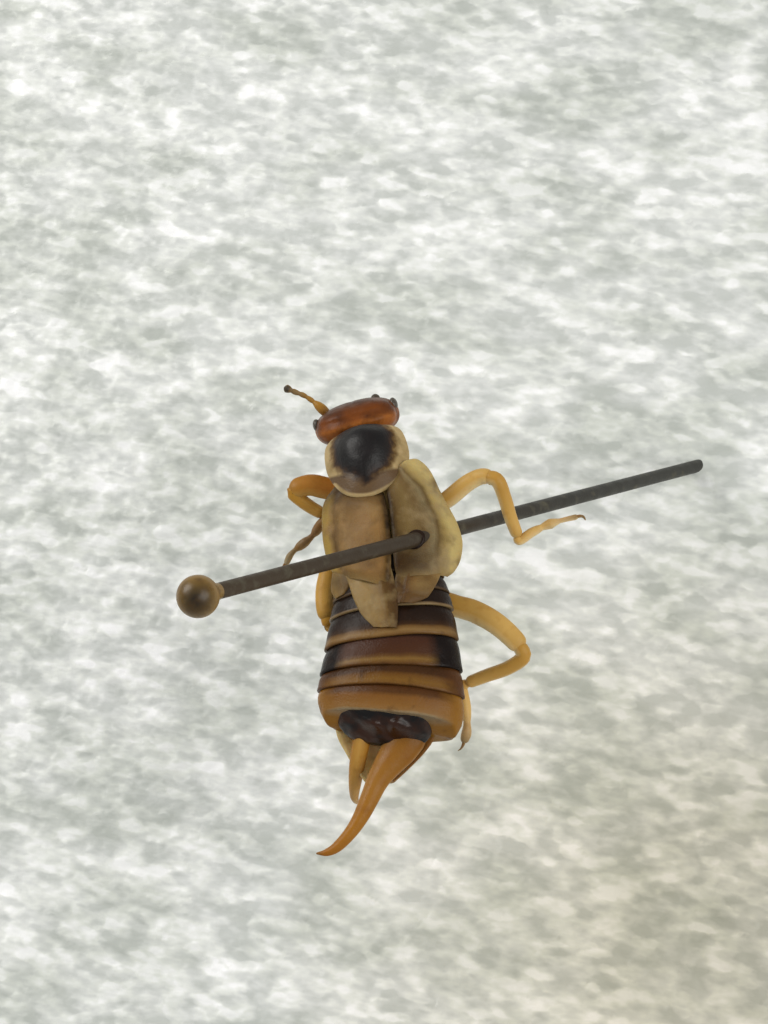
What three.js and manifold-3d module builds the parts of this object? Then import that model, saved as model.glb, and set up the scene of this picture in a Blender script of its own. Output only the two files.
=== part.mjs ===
// A dried earwig on an insect pin that leans in a block of white foam. Millimetres, +Z up.
// The origin is the middle of the foam's underside, and +Y points towards the animal's head.
import * as THREE from "three";
import { mergeVertices } from "three/addons/utils/BufferGeometryUtils.js";
import Module from "manifold-3d";

// Foam block
const FOAM_WIDTH = 32;
const FOAM_LENGTH = 44;
const FOAM_HEIGHT = 9;
const FOAM_CHAMFER = 0.35;

// Insect pin: size 2 steel wire with a moulded ball
const PIN_DIAMETER = 0.45;
const PIN_LENGTH = 38;
const PIN_POINT_LENGTH = 2.4;
const PIN_POINT_BLUNTNESS = 0.12;
const BALL_DIAMETER = 1.16;
const PIN_LEAN = THREE.MathUtils.degToRad(37.1);
const PIN_HEADING = THREE.MathUtils.degToRad(-140.9);
const BALL_ABOVE_WING = 10.36;

// Where the pin goes into the right wing cover
const PIN_ENTRY = new THREE.Vector3(1.75, -8.5, 23.3);
const ENTRY_ABOVE_AXIS = 1.0;

// Animal
const HEAD_WIDTH = 2.62;
const HEAD_LENGTH = 2.3;
const HEAD_DEPTH = 1.32;
const HEAD_YAW = THREE.MathUtils.degToRad(10);
const HEAD_DROOP = THREE.MathUtils.degToRad(65);
const HEAD_SQUARENESS = 0.86;
const EYE_DIAMETER = 0.46;
const EYE_BULGE = 0.09;
const EYE_SET_IN = 0.1;
const EYE_ABOVE_MIDDLE = 0.22;
const SHIELD_THICKNESS = 0.5;
const WING_THICKNESS = 0.5;
const LEAST_LIMB = 0.5;

// Clearance between neighbouring pieces
const GAP = 0.045;

// Colour, roughness and metalness of each finish
const CHESTNUT = [0x7a3a12, 0.3];
const DARK_EYE = [0x2a2522, 0.25];
const STRAW = [0xa8905c, 0.45];
const WING_BROWN = [0x7d6238, 0.4];
const DARK_BAND = [0x2a160c, 0.35];
const TAN_BAND = [0x8a5c22, 0.35];
const BLACK_PLATE = [0x120b08, 0.2];
const AMBER = [0xa86a18, 0.35];
const STEEL = [0x35312b, 0.35, 0.8];
const NYLON = [0x6b4f1e, 0.3];
const FOAM_WHITE = [0xdedfd8, 0.6];

const wasm = await Module();
wasm.setup();

// Solids

const UP = new THREE.Vector3(0, 0, 1);

function vector(place) {
  return new THREE.Vector3(...place);
}

function toSolid(geometry) {
  const bare = geometry.clone();
  bare.deleteAttribute("normal");
  bare.deleteAttribute("uv");
  const merged = mergeVertices(bare, 1e-4);
  return new wasm.Manifold(new wasm.Mesh({
    numProp: 3,
    vertProperties: new Float32Array(merged.attributes.position.array),
    triVerts: new Uint32Array(merged.index.array),
  }));
}

function toGeometry(solid) {
  const mesh = solid.getMesh();
  const geometry = new THREE.BufferGeometry();
  geometry.setAttribute("position", new THREE.BufferAttribute(mesh.vertProperties, 3));
  geometry.setIndex(new THREE.BufferAttribute(mesh.triVerts, 1));
  geometry.computeVertexNormals();
  return largestBody(geometry);
}

// Keeps the largest of the bodies that a cut leaves, and drops the loose crumbs
function largestBody(geometry) {
  const index = geometry.index.array;
  const corners = geometry.attributes.position;
  const leader = Array.from({ length: corners.count }, (_, i) => i);
  const find = (i) => (leader[i] === i ? i : (leader[i] = find(leader[i])));
  for (let i = 0; i < index.length; i += 3) {
    leader[find(index[i + 1])] = find(index[i]);
    leader[find(index[i + 2])] = find(index[i]);
  }
  const volumes = new Map();
  const [a, b, c] = [new THREE.Vector3(), new THREE.Vector3(), new THREE.Vector3()];
  for (let i = 0; i < index.length; i += 3) {
    a.fromBufferAttribute(corners, index[i]);
    b.fromBufferAttribute(corners, index[i + 1]);
    c.fromBufferAttribute(corners, index[i + 2]);
    const body = find(index[i]);
    volumes.set(body, (volumes.get(body) ?? 0) + a.dot(b.cross(c)));
  }
  const largest = [...volumes].sort((one, other) => other[1] - one[1])[0][0];
  const kept = [];
  for (let i = 0; i < index.length; i += 3) {
    if (find(index[i]) === largest) {
      kept.push(index[i], index[i + 1], index[i + 2]);
    }
  }
  geometry.setIndex(kept);
  return geometry;
}

// Moves each corner of a simple closed shape to the place that a function gives for it
function remap(geometry, place) {
  const corners = geometry.attributes.position;
  const point = new THREE.Vector3();
  for (let i = 0; i < corners.count; i += 1) {
    point.fromBufferAttribute(corners, i);
    const moved = place(point);
    corners.setXYZ(i, moved.x, moved.y, moved.z);
  }
  return geometry;
}

// The value at t, from 0 to 1, of a list of evenly spaced values
function along(values, t) {
  const step = Math.min(Math.max(t, 0), 1) * (values.length - 1);
  const low = Math.min(Math.floor(step), values.length - 2);
  return THREE.MathUtils.lerp(values[low], values[low + 1], step - low);
}

// Share of a rod's rounded end at which its first ring lies, and the most of its length that an end takes
const FIRST_RING = 0.3;
const LONGEST_END = 0.4;

// Where a rod's rings lie along it: two close to each end, which round it off, and the rest evenly between
function ringPlace(ring, rings, cap) {
  const fromEnd = Math.min(ring, rings - ring);
  const places = [0, FIRST_RING * cap];
  const place = places[fromEnd] ?? THREE.MathUtils.mapLinear(fromEnd, 2, rings - 2, cap, 1 - cap);
  return ring > rings / 2 ? 1 - place : place;
}

// A rounded rod along a smooth curve, with its width and depth given along its length
function limb({ route, widths, depths = widths, up = UP, sides = 8, steps = 7, grow = 0 }) {
  const curve = new THREE.CatmullRomCurve3(route.map(vector), false, "centripetal");
  const cap = Math.min(LONGEST_END, (0.5 * along(widths, 0)) / curve.getLength());
  return remap(new THREE.SphereGeometry(1, sides, steps), (unit) => {
    const polar = Math.acos(THREE.MathUtils.clamp(unit.y, -1, 1)) / Math.PI;
    const t = ringPlace(Math.round(polar * steps), steps, cap);
    const ring = Math.hypot(unit.x, unit.z);
    const tangent = curve.getTangentAt(t);
    const side = new THREE.Vector3().crossVectors(tangent, up).normalize();
    const lift = new THREE.Vector3().crossVectors(tangent, side);
    const fromEnd = Math.min(t, 1 - t);
    const round = fromEnd < cap ? Math.sqrt(1 - (1 - fromEnd / cap) ** 2) : 1;
    const scale = ring < 1e-6 ? 0 : round / ring;
    const across = (0.5 * along(widths, t) + grow) * scale;
    const deep = (0.5 * along(depths, t) + grow) * scale;
    return curve.getPointAt(t)
      .addScaledVector(side, unit.x * across)
      .addScaledVector(lift, unit.z * deep)
      .addScaledVector(tangent, (t - 0.5) * 2 * grow);
  });
}

// A flattened ball with its own axes
function ball({ centre, axes, radii, sides = 16, steps = 12, square = 1, grow = 0 }) {
  const soften = (value) => Math.sign(value) * Math.abs(value) ** square;
  return remap(new THREE.SphereGeometry(1, sides, steps), (unit) => vector(centre)
    .addScaledVector(axes[0], soften(unit.x) * (radii[0] + grow))
    .addScaledVector(axes[1], soften(unit.y) * (radii[1] + grow))
    .addScaledVector(axes[2], soften(unit.z) * (radii[2] + grow)));
}

// A slice of the trunk between two stations along Y, whose girth comes from a function
function slice({ front, rear, girth, sides = 22, steps = 1, grow = 0 }) {
  const shape = new THREE.CylinderGeometry(1, 1, 1, sides, steps);
  return remap(shape, (unit) => {
    const y = THREE.MathUtils.lerp(rear - grow, front + grow, unit.y + 0.5);
    const { x, z, wide, deep } = girth(THREE.MathUtils.clamp(y, rear, front));
    return new THREE.Vector3(x + unit.x * (wide + grow), y, z + unit.z * (deep + grow));
  });
}

// A thin curved plate between a left and a right edge that run from front to rear
function plate({ left, right, crown, thickness, across = 6, lengthwise = 8, grow = 0 }) {
  const leftEdge = new THREE.CatmullRomCurve3(left.map(vector));
  const rightEdge = new THREE.CatmullRomCurve3(right.map(vector));
  const spread = new THREE.Vector3();
  return remap(new THREE.BoxGeometry(1, 1, 1, across, lengthwise, 1), (unit) => {
    const u = unit.x + 0.5;
    const v = 0.5 - unit.y;
    const a = leftEdge.getPoint(v);
    const b = rightEdge.getPoint(v);
    const place = a.clone().lerp(b, u);
    place.z += crown * 4 * u * (1 - u);
    spread.subVectors(b, a).setZ(0).normalize();
    place.addScaledVector(spread, (u - 0.5) * 2 * grow);
    place.y -= (v - 0.5) * 2 * grow;
    place.z += unit.z > 0 ? grow : -thickness - grow;
    return place;
  });
}

// Pin, in the animal's own frame, whose origin is on the trunk's axis below the pin's entry

const entry = new THREE.Vector3(0, 0, ENTRY_ABOVE_AXIS);
const pinWay = new THREE.Vector3(
  Math.sin(PIN_LEAN) * Math.cos(PIN_HEADING),
  Math.sin(PIN_LEAN) * Math.sin(PIN_HEADING),
  Math.cos(PIN_LEAN),
);
const ballCentre = entry.clone().addScaledVector(pinWay, BALL_ABOVE_WING);
const pinTop = ballCentre.clone().addScaledVector(pinWay, -0.5 * BALL_DIAMETER - GAP);
const pinTip = ballCentre.clone().addScaledVector(pinWay, -PIN_LENGTH);
const pinTurn = new THREE.Quaternion().setFromUnitVectors(new THREE.Vector3(0, 1, 0), pinWay);

function pinShaft(grow = 0) {
  const radius = 0.5 * PIN_DIAMETER + grow;
  const length = pinTop.distanceTo(pinTip) + grow;
  const profile = [
    new THREE.Vector2(0, -grow),
    new THREE.Vector2(PIN_POINT_BLUNTNESS * radius + 0.5 * grow, -grow),
    new THREE.Vector2(radius, PIN_POINT_LENGTH),
    new THREE.Vector2(radius, length),
    new THREE.Vector2(0, length),
  ];
  return new THREE.LatheGeometry(profile, 12)
    .applyQuaternion(pinTurn)
    .translate(pinTip.x, pinTip.y, pinTip.z);
}

function pinBall() {
  return new THREE.SphereGeometry(0.5 * BALL_DIAMETER, 18, 12)
    .applyQuaternion(pinTurn)
    .translate(ballCentre.x, ballCentre.y, ballCentre.z);
}

// Head, which hangs face down: right, down its length, and out of its crown

const HEAD_CENTRE = [-1.8, 4.75, -0.78];
const headRight = new THREE.Vector3(Math.cos(HEAD_YAW), Math.sin(HEAD_YAW), 0);
const headAhead = new THREE.Vector3(-Math.sin(HEAD_YAW), Math.cos(HEAD_YAW), 0);
const headDown = headAhead.clone().multiplyScalar(Math.cos(HEAD_DROOP))
  .addScaledVector(UP, -Math.sin(HEAD_DROOP));
const headCrown = headAhead.clone().multiplyScalar(Math.sin(HEAD_DROOP))
  .addScaledVector(UP, Math.cos(HEAD_DROOP));

function onHead(right, down, crown) {
  return vector(HEAD_CENTRE)
    .addScaledVector(headRight, right)
    .addScaledVector(headDown, down)
    .addScaledVector(headCrown, crown)
    .toArray();
}

function head(grow) {
  return ball({
    centre: HEAD_CENTRE,
    axes: [headRight, headDown, headCrown],
    radii: [HEAD_WIDTH / 2, HEAD_LENGTH / 2, HEAD_DEPTH / 2],
    square: HEAD_SQUARENESS,
    sides: 20,
    steps: 12,
    grow,
  });
}

function eye(side, grow) {
  return ball({
    centre: onHead(side * (HEAD_WIDTH / 2 - EYE_SET_IN), 0, EYE_ABOVE_MIDDLE),
    axes: [headRight, headDown, headCrown],
    radii: [EYE_BULGE + EYE_SET_IN, EYE_DIAMETER / 2, EYE_DIAMETER / 2],
    sides: 12,
    steps: 8,
    grow,
  });
}

function mouthparts(grow) {
  return limb({
    route: [onHead(0, 0.85, 0), onHead(0, 1.2, 0.02), onHead(0, 1.55, -0.02)],
    widths: [1.5, 1.25, 0.8],
    depths: [0.9, 0.8, 0.55],
    up: headCrown,
    sides: 12,
    grow,
  });
}

// Antennae, of which the right one has broken off at its base
const LEFT_ANTENNA = [
  onHead(-0.78, 0.5, 0.3), [-2.9, 5.3, -0.84], [-3.32, 5.67, -0.7], [-4.09, 6.12, -0.5],
];
const RIGHT_ANTENNA = [onHead(0.78, 0.5, 0.3), onHead(0.74, 0.46, 0.9)];

// Trunk

// Half the trunk's width at places along it, from front to rear
const TRUNK_FRONT = 1.9;
const TRUNK_REAR = -5.4;
const TRUNK_HALF_WIDTHS = [1.2, 1.4, 1.42, 1.5, 1.74, 1.9, 2.02, 2.12, 2.16, 1.98];
const TRUNK_DEPTHS = [1.9, 1.9, 1.85, 1.95, 2.1, 2.2, 2.25, 2.25, 2.2, 1.9];
const TRUNK_MIDDLE_X = [-1.15, -0.98, -0.9, -0.95, -1.0, -1.04, -1.1, -1.16, -1.22, -1.28];
const TRUNK_MIDDLE_Z = -0.22;

function trunkGirth(y) {
  const t = (TRUNK_FRONT - y) / (TRUNK_FRONT - TRUNK_REAR);
  return {
    x: along(TRUNK_MIDDLE_X, t),
    z: TRUNK_MIDDLE_Z,
    wide: along(TRUNK_HALF_WIDTHS, t),
    deep: along(TRUNK_DEPTHS, t) / 2,
  };
}

// Prothorax, at even places from front to rear
const PROTHORAX_FRONT = 4.1;
const PROTHORAX_REAR = 1.98;
const PROTHORAX_MIDDLE_X = [-1.62, -1.4, -1.28, -1.15];
const PROTHORAX_MIDDLE_Z = [-0.35, -0.32, -0.35, -0.3];
const PROTHORAX_HALF_WIDTHS = [0.72, 0.98, 1.05, 0.95];
const PROTHORAX_HALF_DEPTHS = [0.5, 0.72, 0.78, 0.7];

function prothoraxGirth(y) {
  const t = (PROTHORAX_FRONT - y) / (PROTHORAX_FRONT - PROTHORAX_REAR);
  return {
    x: along(PROTHORAX_MIDDLE_X, t),
    z: along(PROTHORAX_MIDDLE_Z, t),
    wide: along(PROTHORAX_HALF_WIDTHS, t),
    deep: along(PROTHORAX_HALF_DEPTHS, t),
  };
}

// Rear edges of the plates behind the wings
const RING_EDGES = [-0.3, -0.85, -1.36, -1.86, -2.88, -3.83, -4.43, -5.22];
const DARK_RINGS = 5;

function ring(index, grow) {
  return slice({
    front: RING_EDGES[index] - GAP,
    rear: RING_EDGES[index + 1],
    girth: trunkGirth,
    grow,
  });
}

// Last plate, at even places from front to rear
const LAST_FRONT = -5.2;
const LAST_REAR = -6.02;
const LAST_MIDDLE_X = [-1.4, -1.42, -1.44];
const LAST_MIDDLE_Z = [-0.12, -0.3, -0.5];
const LAST_HALF_WIDTHS = [1.5, 1.26, 0.85];
const LAST_HALF_DEPTHS = [0.78, 0.68, 0.42];

function lastPlateGirth(y) {
  const t = (LAST_FRONT - y) / (LAST_FRONT - LAST_REAR);
  return {
    x: along(LAST_MIDDLE_X, t),
    z: along(LAST_MIDDLE_Z, t),
    wide: along(LAST_HALF_WIDTHS, t),
    deep: along(LAST_HALF_DEPTHS, t),
  };
}

// Shield over the prothorax, and the wing covers with the folded wing tips behind them

function pronotum(grow) {
  return plate({
    left: [
      [-2.42, 3.8, 0.36], [-2.6, 3.3, 0.36], [-2.6, 2.7, 0.4], [-2.34, 2.05, 0.5], [-1.7, 1.7, 0.74],
    ],
    right: [
      [-0.5, 3.95, 0.36], [-0.2, 3.35, 0.36], [-0.08, 2.75, 0.4], [-0.25, 2.12, 0.5], [-0.8, 1.7, 0.74],
    ],
    crown: 0.55,
    thickness: SHIELD_THICKNESS,
    across: 8,
    grow,
  });
}

function leftCover(grow) {
  return plate({
    left: [[-2.6, 2.0, 0.34], [-2.88, 1.0, 0.28], [-2.86, 0.0, 0.28], [-2.5, -0.95, 0.4]],
    right: [[-0.98, 1.66, 0.92], [-0.82, 0.7, 1.0], [-0.76, -0.5, 1.0], [-0.98, -1.38, 0.92]],
    crown: 0.16,
    thickness: WING_THICKNESS,
    grow,
  });
}

function rightCover(grow) {
  return plate({
    left: [[-0.86, 1.62, 0.9], [-0.76, 0.72, 1.0], [-0.68, -0.5, 1.0], [-0.4, -1.02, 0.95]],
    right: [[0.1, 2.75, 0.3], [0.86, 1.55, 0.15], [1.2, 0.25, 0.1], [0.72, -1.0, 0.3]],
    crown: 0.24,
    thickness: WING_THICKNESS,
    grow,
  });
}

function leftTip(grow) {
  return plate({
    left: [[-2.42, -1.0, 0.5], [-2.0, -1.75, 0.78], [-1.42, -2.52, 0.88]],
    right: [[-0.78, -1.4, 0.98], [-0.7, -1.9, 0.98], [-0.74, -2.62, 0.92]],
    crown: 0.08,
    thickness: WING_THICKNESS,
    across: 4,
    lengthwise: 4,
    grow,
  });
}

function rightTip(grow) {
  return plate({
    left: [[-0.48, -1.04, 0.9], [-0.62, -1.45, 0.96], [-0.6, -1.9, 0.94]],
    right: [[0.66, -1.02, 0.4], [0.52, -1.4, 0.62], [0.1, -1.82, 0.8]],
    crown: 0.1,
    thickness: WING_THICKNESS,
    across: 4,
    lengthwise: 4,
    grow,
  });
}

// Forceps, of which the left arm has sunk below the right one

const RIGHT_FORCEPS = [
  [-0.5, -5.72, -0.5], [-1.2, -6.15, -0.52], [-1.72, -6.72, -0.56], [-2.1, -7.35, -0.6],
  [-2.55, -7.98, -0.62], [-3.02, -8.48, -0.64], [-3.72, -8.8, -0.66],
];
const LEFT_FORCEPS = [
  [-2.16, -5.7, -0.55], [-2.36, -6.2, -0.95], [-2.56, -6.6, -1.6], [-2.72, -6.8, -2.3],
  [-2.78, -6.82, -2.9], [-2.66, -6.72, -3.5],
];

// Legs: the places of the hip, the knee, the ankle and the foot's joints, hip first

const LEGS = {
  front_left: {
    coxa: [[-1.75, 3.05, -0.85], [-2.15, 2.72, -1.22]],
    femur: [[-2.2, 2.66, -1.2], [-2.95, 2.86, -1.08], [-3.5, 2.98, -1.0], [-4.07, 2.9, -1.02]],
    tibia: [[-4.02, 2.8, -1.12], [-3.62, 2.4, -1.3], [-3.12, 1.98, -1.5]],
    tarsus: [[-3.16, 1.96, -1.58], [-3.62, 1.43, -1.72], [-4.2, 1.06, -1.85], [-4.62, 0.62, -2.05]],
  },
  front_right: {
    coxa: [[-0.95, 3.0, -0.85], [-0.75, 2.6, -1.25]],
    femur: [[-0.7, 2.55, -1.32], [-0.42, 2.1, -1.62], [-0.3, 1.4, -1.85], [-0.4, 0.75, -1.95]],
    tibia: [[-0.5, 0.72, -2.1], [-0.62, 1.35, -2.42], [-0.72, 1.95, -2.65]],
    tarsus: [[-0.78, 2.0, -2.75], [-0.9, 2.45, -2.95], [-1.1, 2.95, -3.0]],
  },
  middle_left: {
    coxa: [[-1.55, 1.15, -0.95], [-2.05, 0.95, -1.22]],
    femur: [[-2.15, 0.92, -1.2], [-2.75, 0.5, -1.0], [-3.08, -0.4, -0.85], [-3.12, -1.6, -0.82]],
    tibia: [[-3.02, -1.7, -1.15], [-2.92, -1.0, -1.42], [-2.7, -0.2, -1.7], [-2.5, 0.35, -1.9]],
    tarsus: [[-2.44, 0.4, -2.05], [-2.2, 0.95, -2.3], [-1.95, 1.35, -2.55]],
  },
  middle_right: {
    coxa: [[-0.6, 1.35, -0.95], [-0.15, 1.55, -1.2]],
    femur: [[-0.05, 1.62, -1.2], [0.75, 2.0, -1.0], [1.6, 2.42, -0.8], [2.32, 2.48, -0.65]],
    tibia: [[2.42, 2.34, -0.72], [2.56, 1.75, -1.05], [2.66, 1.25, -1.45], [2.76, 0.72, -1.9]],
    tarsus: [
      [2.88, 0.66, -1.98], [3.35, 0.82, -2.02], [3.8, 1.08, -2.06], [4.3, 1.24, -2.1], [4.86, 1.22, -2.2],
    ],
  },
  hind_left: {
    coxa: [[-1.4, -0.35, -1.0], [-1.72, -0.7, -1.38]],
    femur: [[-1.75, -0.8, -1.55], [-2.0, -1.5, -1.78], [-2.12, -2.3, -1.86], [-2.0, -3.05, -1.9]],
    tibia: [[-1.9, -3.1, -2.1], [-1.66, -2.4, -2.42], [-1.5, -1.6, -2.62], [-1.42, -0.95, -2.72]],
    tarsus: [[-1.4, -0.88, -2.86], [-1.32, -0.3, -3.02], [-1.38, 0.3, -3.2]],
  },
  hind_right: {
    coxa: [[-0.5, -0.4, -1.0], [-0.18, -0.72, -1.32]],
    femur: [
      [-0.1, -0.8, -1.4], [0.65, -1.45, -1.28], [1.6, -1.85, -1.2], [2.36, -2.4, -1.2], [2.82, -3.06, -1.28],
    ],
    tibia: [[2.76, -3.24, -1.42], [2.2, -3.42, -1.72], [1.45, -3.52, -2.02], [0.78, -3.62, -2.3]],
    tarsus: [[0.68, -3.76, -2.42], [0.76, -4.4, -2.58], [0.76, -5.0, -2.8], [0.52, -5.34, -3.0]],
  },
};
const SEGMENTS = {
  coxa: { widths: [0.72, 0.6], sides: 8, steps: 5 },
  femur: { widths: [0.5, 0.56, 0.55, 0.5], sides: 8, steps: 7 },
  tibia: { widths: [LEAST_LIMB, LEAST_LIMB], sides: 7, steps: 6 },
  tarsus: { widths: [LEAST_LIMB, LEAST_LIMB], sides: 7, steps: 7 },
};

function tube(route, shape) {
  return (grow) => limb({ route, ...shape, grow });
}

// Each piece is cut back by the pieces before it, so the first ones keep their whole shape

const pieces = [];

function add(name, build, look) {
  pieces.push({ name, build, look });
}

add("pin_shaft", pinShaft, STEEL);
add("eye_left", (grow) => eye(-1, grow), DARK_EYE);
add("eye_right", (grow) => eye(1, grow), DARK_EYE);
add("pronotum", pronotum, STRAW);
add("head", head, CHESTNUT);
add("mouthparts", mouthparts, CHESTNUT);
add("tegmen_left", leftCover, WING_BROWN);
add("tegmen_right", rightCover, WING_BROWN);
add("wing_tip_left", leftTip, STRAW);
add("wing_tip_right", rightTip, STRAW);
add("prothorax", (grow) => slice({
  front: PROTHORAX_FRONT,
  rear: PROTHORAX_REAR,
  girth: prothoraxGirth,
  steps: 4,
  grow,
}), AMBER);
add("thorax", (grow) => slice({
  front: TRUNK_FRONT,
  rear: RING_EDGES[0],
  girth: trunkGirth,
  steps: 3,
  grow,
}), AMBER);
for (let index = 0; index < RING_EDGES.length - 1; index += 1) {
  const look = index < DARK_RINGS ? DARK_BAND : TAN_BAND;
  add(`abdomen_${index + 1}`, (grow) => ring(index, grow), look);
}
add("last_tergite", (grow) => slice({
  front: LAST_FRONT,
  rear: LAST_REAR,
  girth: lastPlateGirth,
  steps: 3,
  grow,
}), BLACK_PLATE);
add("forceps_right", tube(RIGHT_FORCEPS, {
  widths: [1.0, 0.72, 0.6, 0.55, 0.5, 0.45, 0.2],
  depths: [0.6, 0.55, 0.5, 0.5, 0.48, 0.42, 0.2],
  sides: 10,
  steps: 14,
}), AMBER);
add("forceps_left", tube(LEFT_FORCEPS, {
  widths: [0.72, 0.6, 0.55, 0.52, 0.45, 0.2],
  up: new THREE.Vector3(1, 0, 0),
  sides: 10,
  steps: 12,
}), AMBER);
for (const [leg, segments] of Object.entries(LEGS)) {
  for (const [segment, route] of Object.entries(segments)) {
    add(`${segment}_${leg}`, tube(route, SEGMENTS[segment]), AMBER);
  }
}
add("antenna_left", tube(LEFT_ANTENNA, { widths: [LEAST_LIMB, LEAST_LIMB], steps: 8 }), AMBER);
add("antenna_right", tube(RIGHT_ANTENNA, { widths: [LEAST_LIMB, LEAST_LIMB], steps: 5 }), AMBER);

// Assembly

function mesh(name, geometry, [color, roughness, metalness = 0]) {
  const look = new THREE.MeshStandardMaterial({ color, roughness, metalness });
  const item = new THREE.Mesh(geometry, look);
  item.name = name;
  return item;
}

function boxOf(geometry) {
  geometry.computeBoundingBox();
  return geometry.boundingBox;
}

const specimen = new THREE.Group();
specimen.position.set(PIN_ENTRY.x, PIN_ENTRY.y, PIN_ENTRY.z - ENTRY_ABOVE_AXIS);
for (const [index, piece] of pieces.entries()) {
  const whole = piece.build(0);
  let solid = toSolid(whole);
  for (const earlier of pieces.slice(0, index)) {
    const cutter = earlier.build(GAP);
    if (boxOf(cutter).intersectsBox(boxOf(whole))) {
      solid = solid.subtract(toSolid(cutter));
    }
  }
  specimen.add(mesh(piece.name, toGeometry(solid), piece.look));
}
specimen.add(mesh("pin_head", pinBall(), NYLON));

function foamBlock() {
  const outline = new THREE.Shape();
  const x = FOAM_WIDTH / 2 - FOAM_CHAMFER;
  const y = FOAM_LENGTH / 2 - FOAM_CHAMFER;
  outline.moveTo(-x, -y);
  outline.lineTo(x, -y);
  outline.lineTo(x, y);
  outline.lineTo(-x, y);
  const block = new THREE.ExtrudeGeometry(outline, {
    depth: FOAM_HEIGHT - 2 * FOAM_CHAMFER,
    bevelSize: FOAM_CHAMFER,
    bevelThickness: FOAM_CHAMFER,
    bevelSegments: 1,
  });
  return block.translate(0, 0, FOAM_CHAMFER);
}

const pinHole = pinShaft(GAP).translate(...specimen.position.toArray());
const group = new THREE.Group();
const block = toSolid(foamBlock()).subtract(toSolid(pinHole));
group.add(mesh("stand_base", toGeometry(block), FOAM_WHITE));
group.add(specimen);

export default group;
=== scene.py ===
"""A dried earwig on a ball-headed pin in a block of white foam, in the pose of the photograph."""
import math

import bmesh
import bpy
import numpy as np
from bpy.props import FloatProperty, FloatVectorProperty, PointerProperty
from mathutils import Matrix, Vector, noise


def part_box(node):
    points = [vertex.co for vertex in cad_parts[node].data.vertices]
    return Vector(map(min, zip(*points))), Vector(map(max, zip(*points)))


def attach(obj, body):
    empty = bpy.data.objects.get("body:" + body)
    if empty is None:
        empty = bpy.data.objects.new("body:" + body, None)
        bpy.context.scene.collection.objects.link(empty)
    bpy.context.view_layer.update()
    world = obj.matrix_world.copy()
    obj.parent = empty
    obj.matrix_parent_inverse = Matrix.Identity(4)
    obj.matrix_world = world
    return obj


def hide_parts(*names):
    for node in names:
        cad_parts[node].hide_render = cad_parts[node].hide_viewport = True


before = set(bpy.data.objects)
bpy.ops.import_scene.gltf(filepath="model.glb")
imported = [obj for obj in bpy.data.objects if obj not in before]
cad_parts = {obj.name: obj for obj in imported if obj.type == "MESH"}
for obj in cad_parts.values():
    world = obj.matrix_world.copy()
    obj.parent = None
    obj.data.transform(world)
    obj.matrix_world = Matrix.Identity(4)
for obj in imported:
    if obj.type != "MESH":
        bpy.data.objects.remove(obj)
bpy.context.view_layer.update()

bl_info = {
    "name": "Pinned earwig",
    "version": (1, 0, 0),
    "blender": (4, 5, 0),
    "location": "View3D > Sidebar > Earwig",
    "description": "Builds a dried earwig on a ball-headed pin in a block of white foam",
    "category": "Object",
}

MM = 0.001
# The animal's own origin, on its trunk's axis below the pin's entry, in millimetres of the frame
HOME = np.array((1.75, -8.5, 22.3))


# Colours and nodes


def tint(code):
    """The linear colour of an sRGB hex code."""
    parts = [int(code[i : i + 2], 16) / 255 for i in (1, 3, 5)]
    return tuple(c / 12.92 if c <= 0.04045 else ((c + 0.055) / 1.055) ** 2.4 for c in parts) + (1.0,)


def add(tree, kind, fields=None, feeds=None, stops=None):
    """Adds a shader node, sets its fields, fills or links its inputs, and lays out a ramp's stops."""
    made = tree.nodes.new("ShaderNode" + kind)
    for field, value in (fields or {}).items():
        setattr(made, field, value)
    for key, value in (feeds or {}).items():
        socket = made.inputs[key]
        if isinstance(value, bpy.types.NodeSocket):
            tree.links.new(value, socket)
        else:
            socket.default_value = value
    if stops:
        ramp = made.color_ramp.elements
        while len(ramp) < len(stops):
            ramp.new(1.0)
        for element, (position, colour) in zip(ramp, stops):
            element.position = position
            element.color = tint(colour) if isinstance(colour, str) else colour
    return made


def begin(name, uniform):
    """A new material with one shader, whose uniform values are set on its own sockets."""
    material = bpy.data.materials.new(name)
    material.use_nodes = True
    tree = material.node_tree
    tree.nodes.clear()
    shader = add(tree, "BsdfPrincipled", feeds=uniform)
    add(tree, "OutputMaterial", feeds={"Surface": shader.outputs["BSDF"]})
    return material, tree, shader


def per(size):
    """How many patterns of this size, in millimetres, go into a metre."""
    return 1 / (size * MM)


def blotched(tree, where, colour, other, size, low, high):
    """A colour with soft blotches of another, each about size millimetres across."""
    cloud = add(tree, "TexNoise", feeds={"Vector": where, "Scale": per(size), "Detail": 3.0})
    share = add(tree, "MapRange", feeds={0: cloud.outputs["Fac"], 1: low, 2: high})
    mixed = add(
        tree, "Mix", {"data_type": "RGBA"},
        {0: share.outputs[0], 6: colour, 7: other if hasattr(other, "node") else tint(other)},
    )
    return mixed.outputs[2]


def skinned(tree, shader, where, colour, roughness, pit=0.05, pit_depth=0.006, fold=0.4, fold_depth=0.02):
    """Dried cuticle over a colour: uneven gloss, fine pits, and the soft folds of shrinking."""
    cloud = add(tree, "TexNoise", feeds={"Vector": where, "Scale": per(fold), "Detail": 4.0})
    pits = add(tree, "TexVoronoi", feeds={"Vector": where, "Scale": per(pit)})
    gloss = add(
        tree, "MapRange",
        feeds={0: cloud.outputs["Fac"], 1: 0.3, 2: 0.7, 3: roughness - 0.07, 4: roughness + 0.1},
    )
    fine = add(
        tree, "Bump",
        feeds={"Strength": 0.7, "Distance": pit_depth * MM, "Height": pits.outputs["Distance"]},
    )
    soft = add(
        tree, "Bump",
        feeds={
            "Strength": 0.8,
            "Distance": fold_depth * MM,
            "Height": cloud.outputs["Fac"],
            "Normal": fine.outputs["Normal"],
        },
    )
    for socket, value in (("Base Color", colour), ("Roughness", gloss.outputs[0]), ("Normal", soft.outputs[0])):
        tree.links.new(value, shader.inputs[socket])


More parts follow.
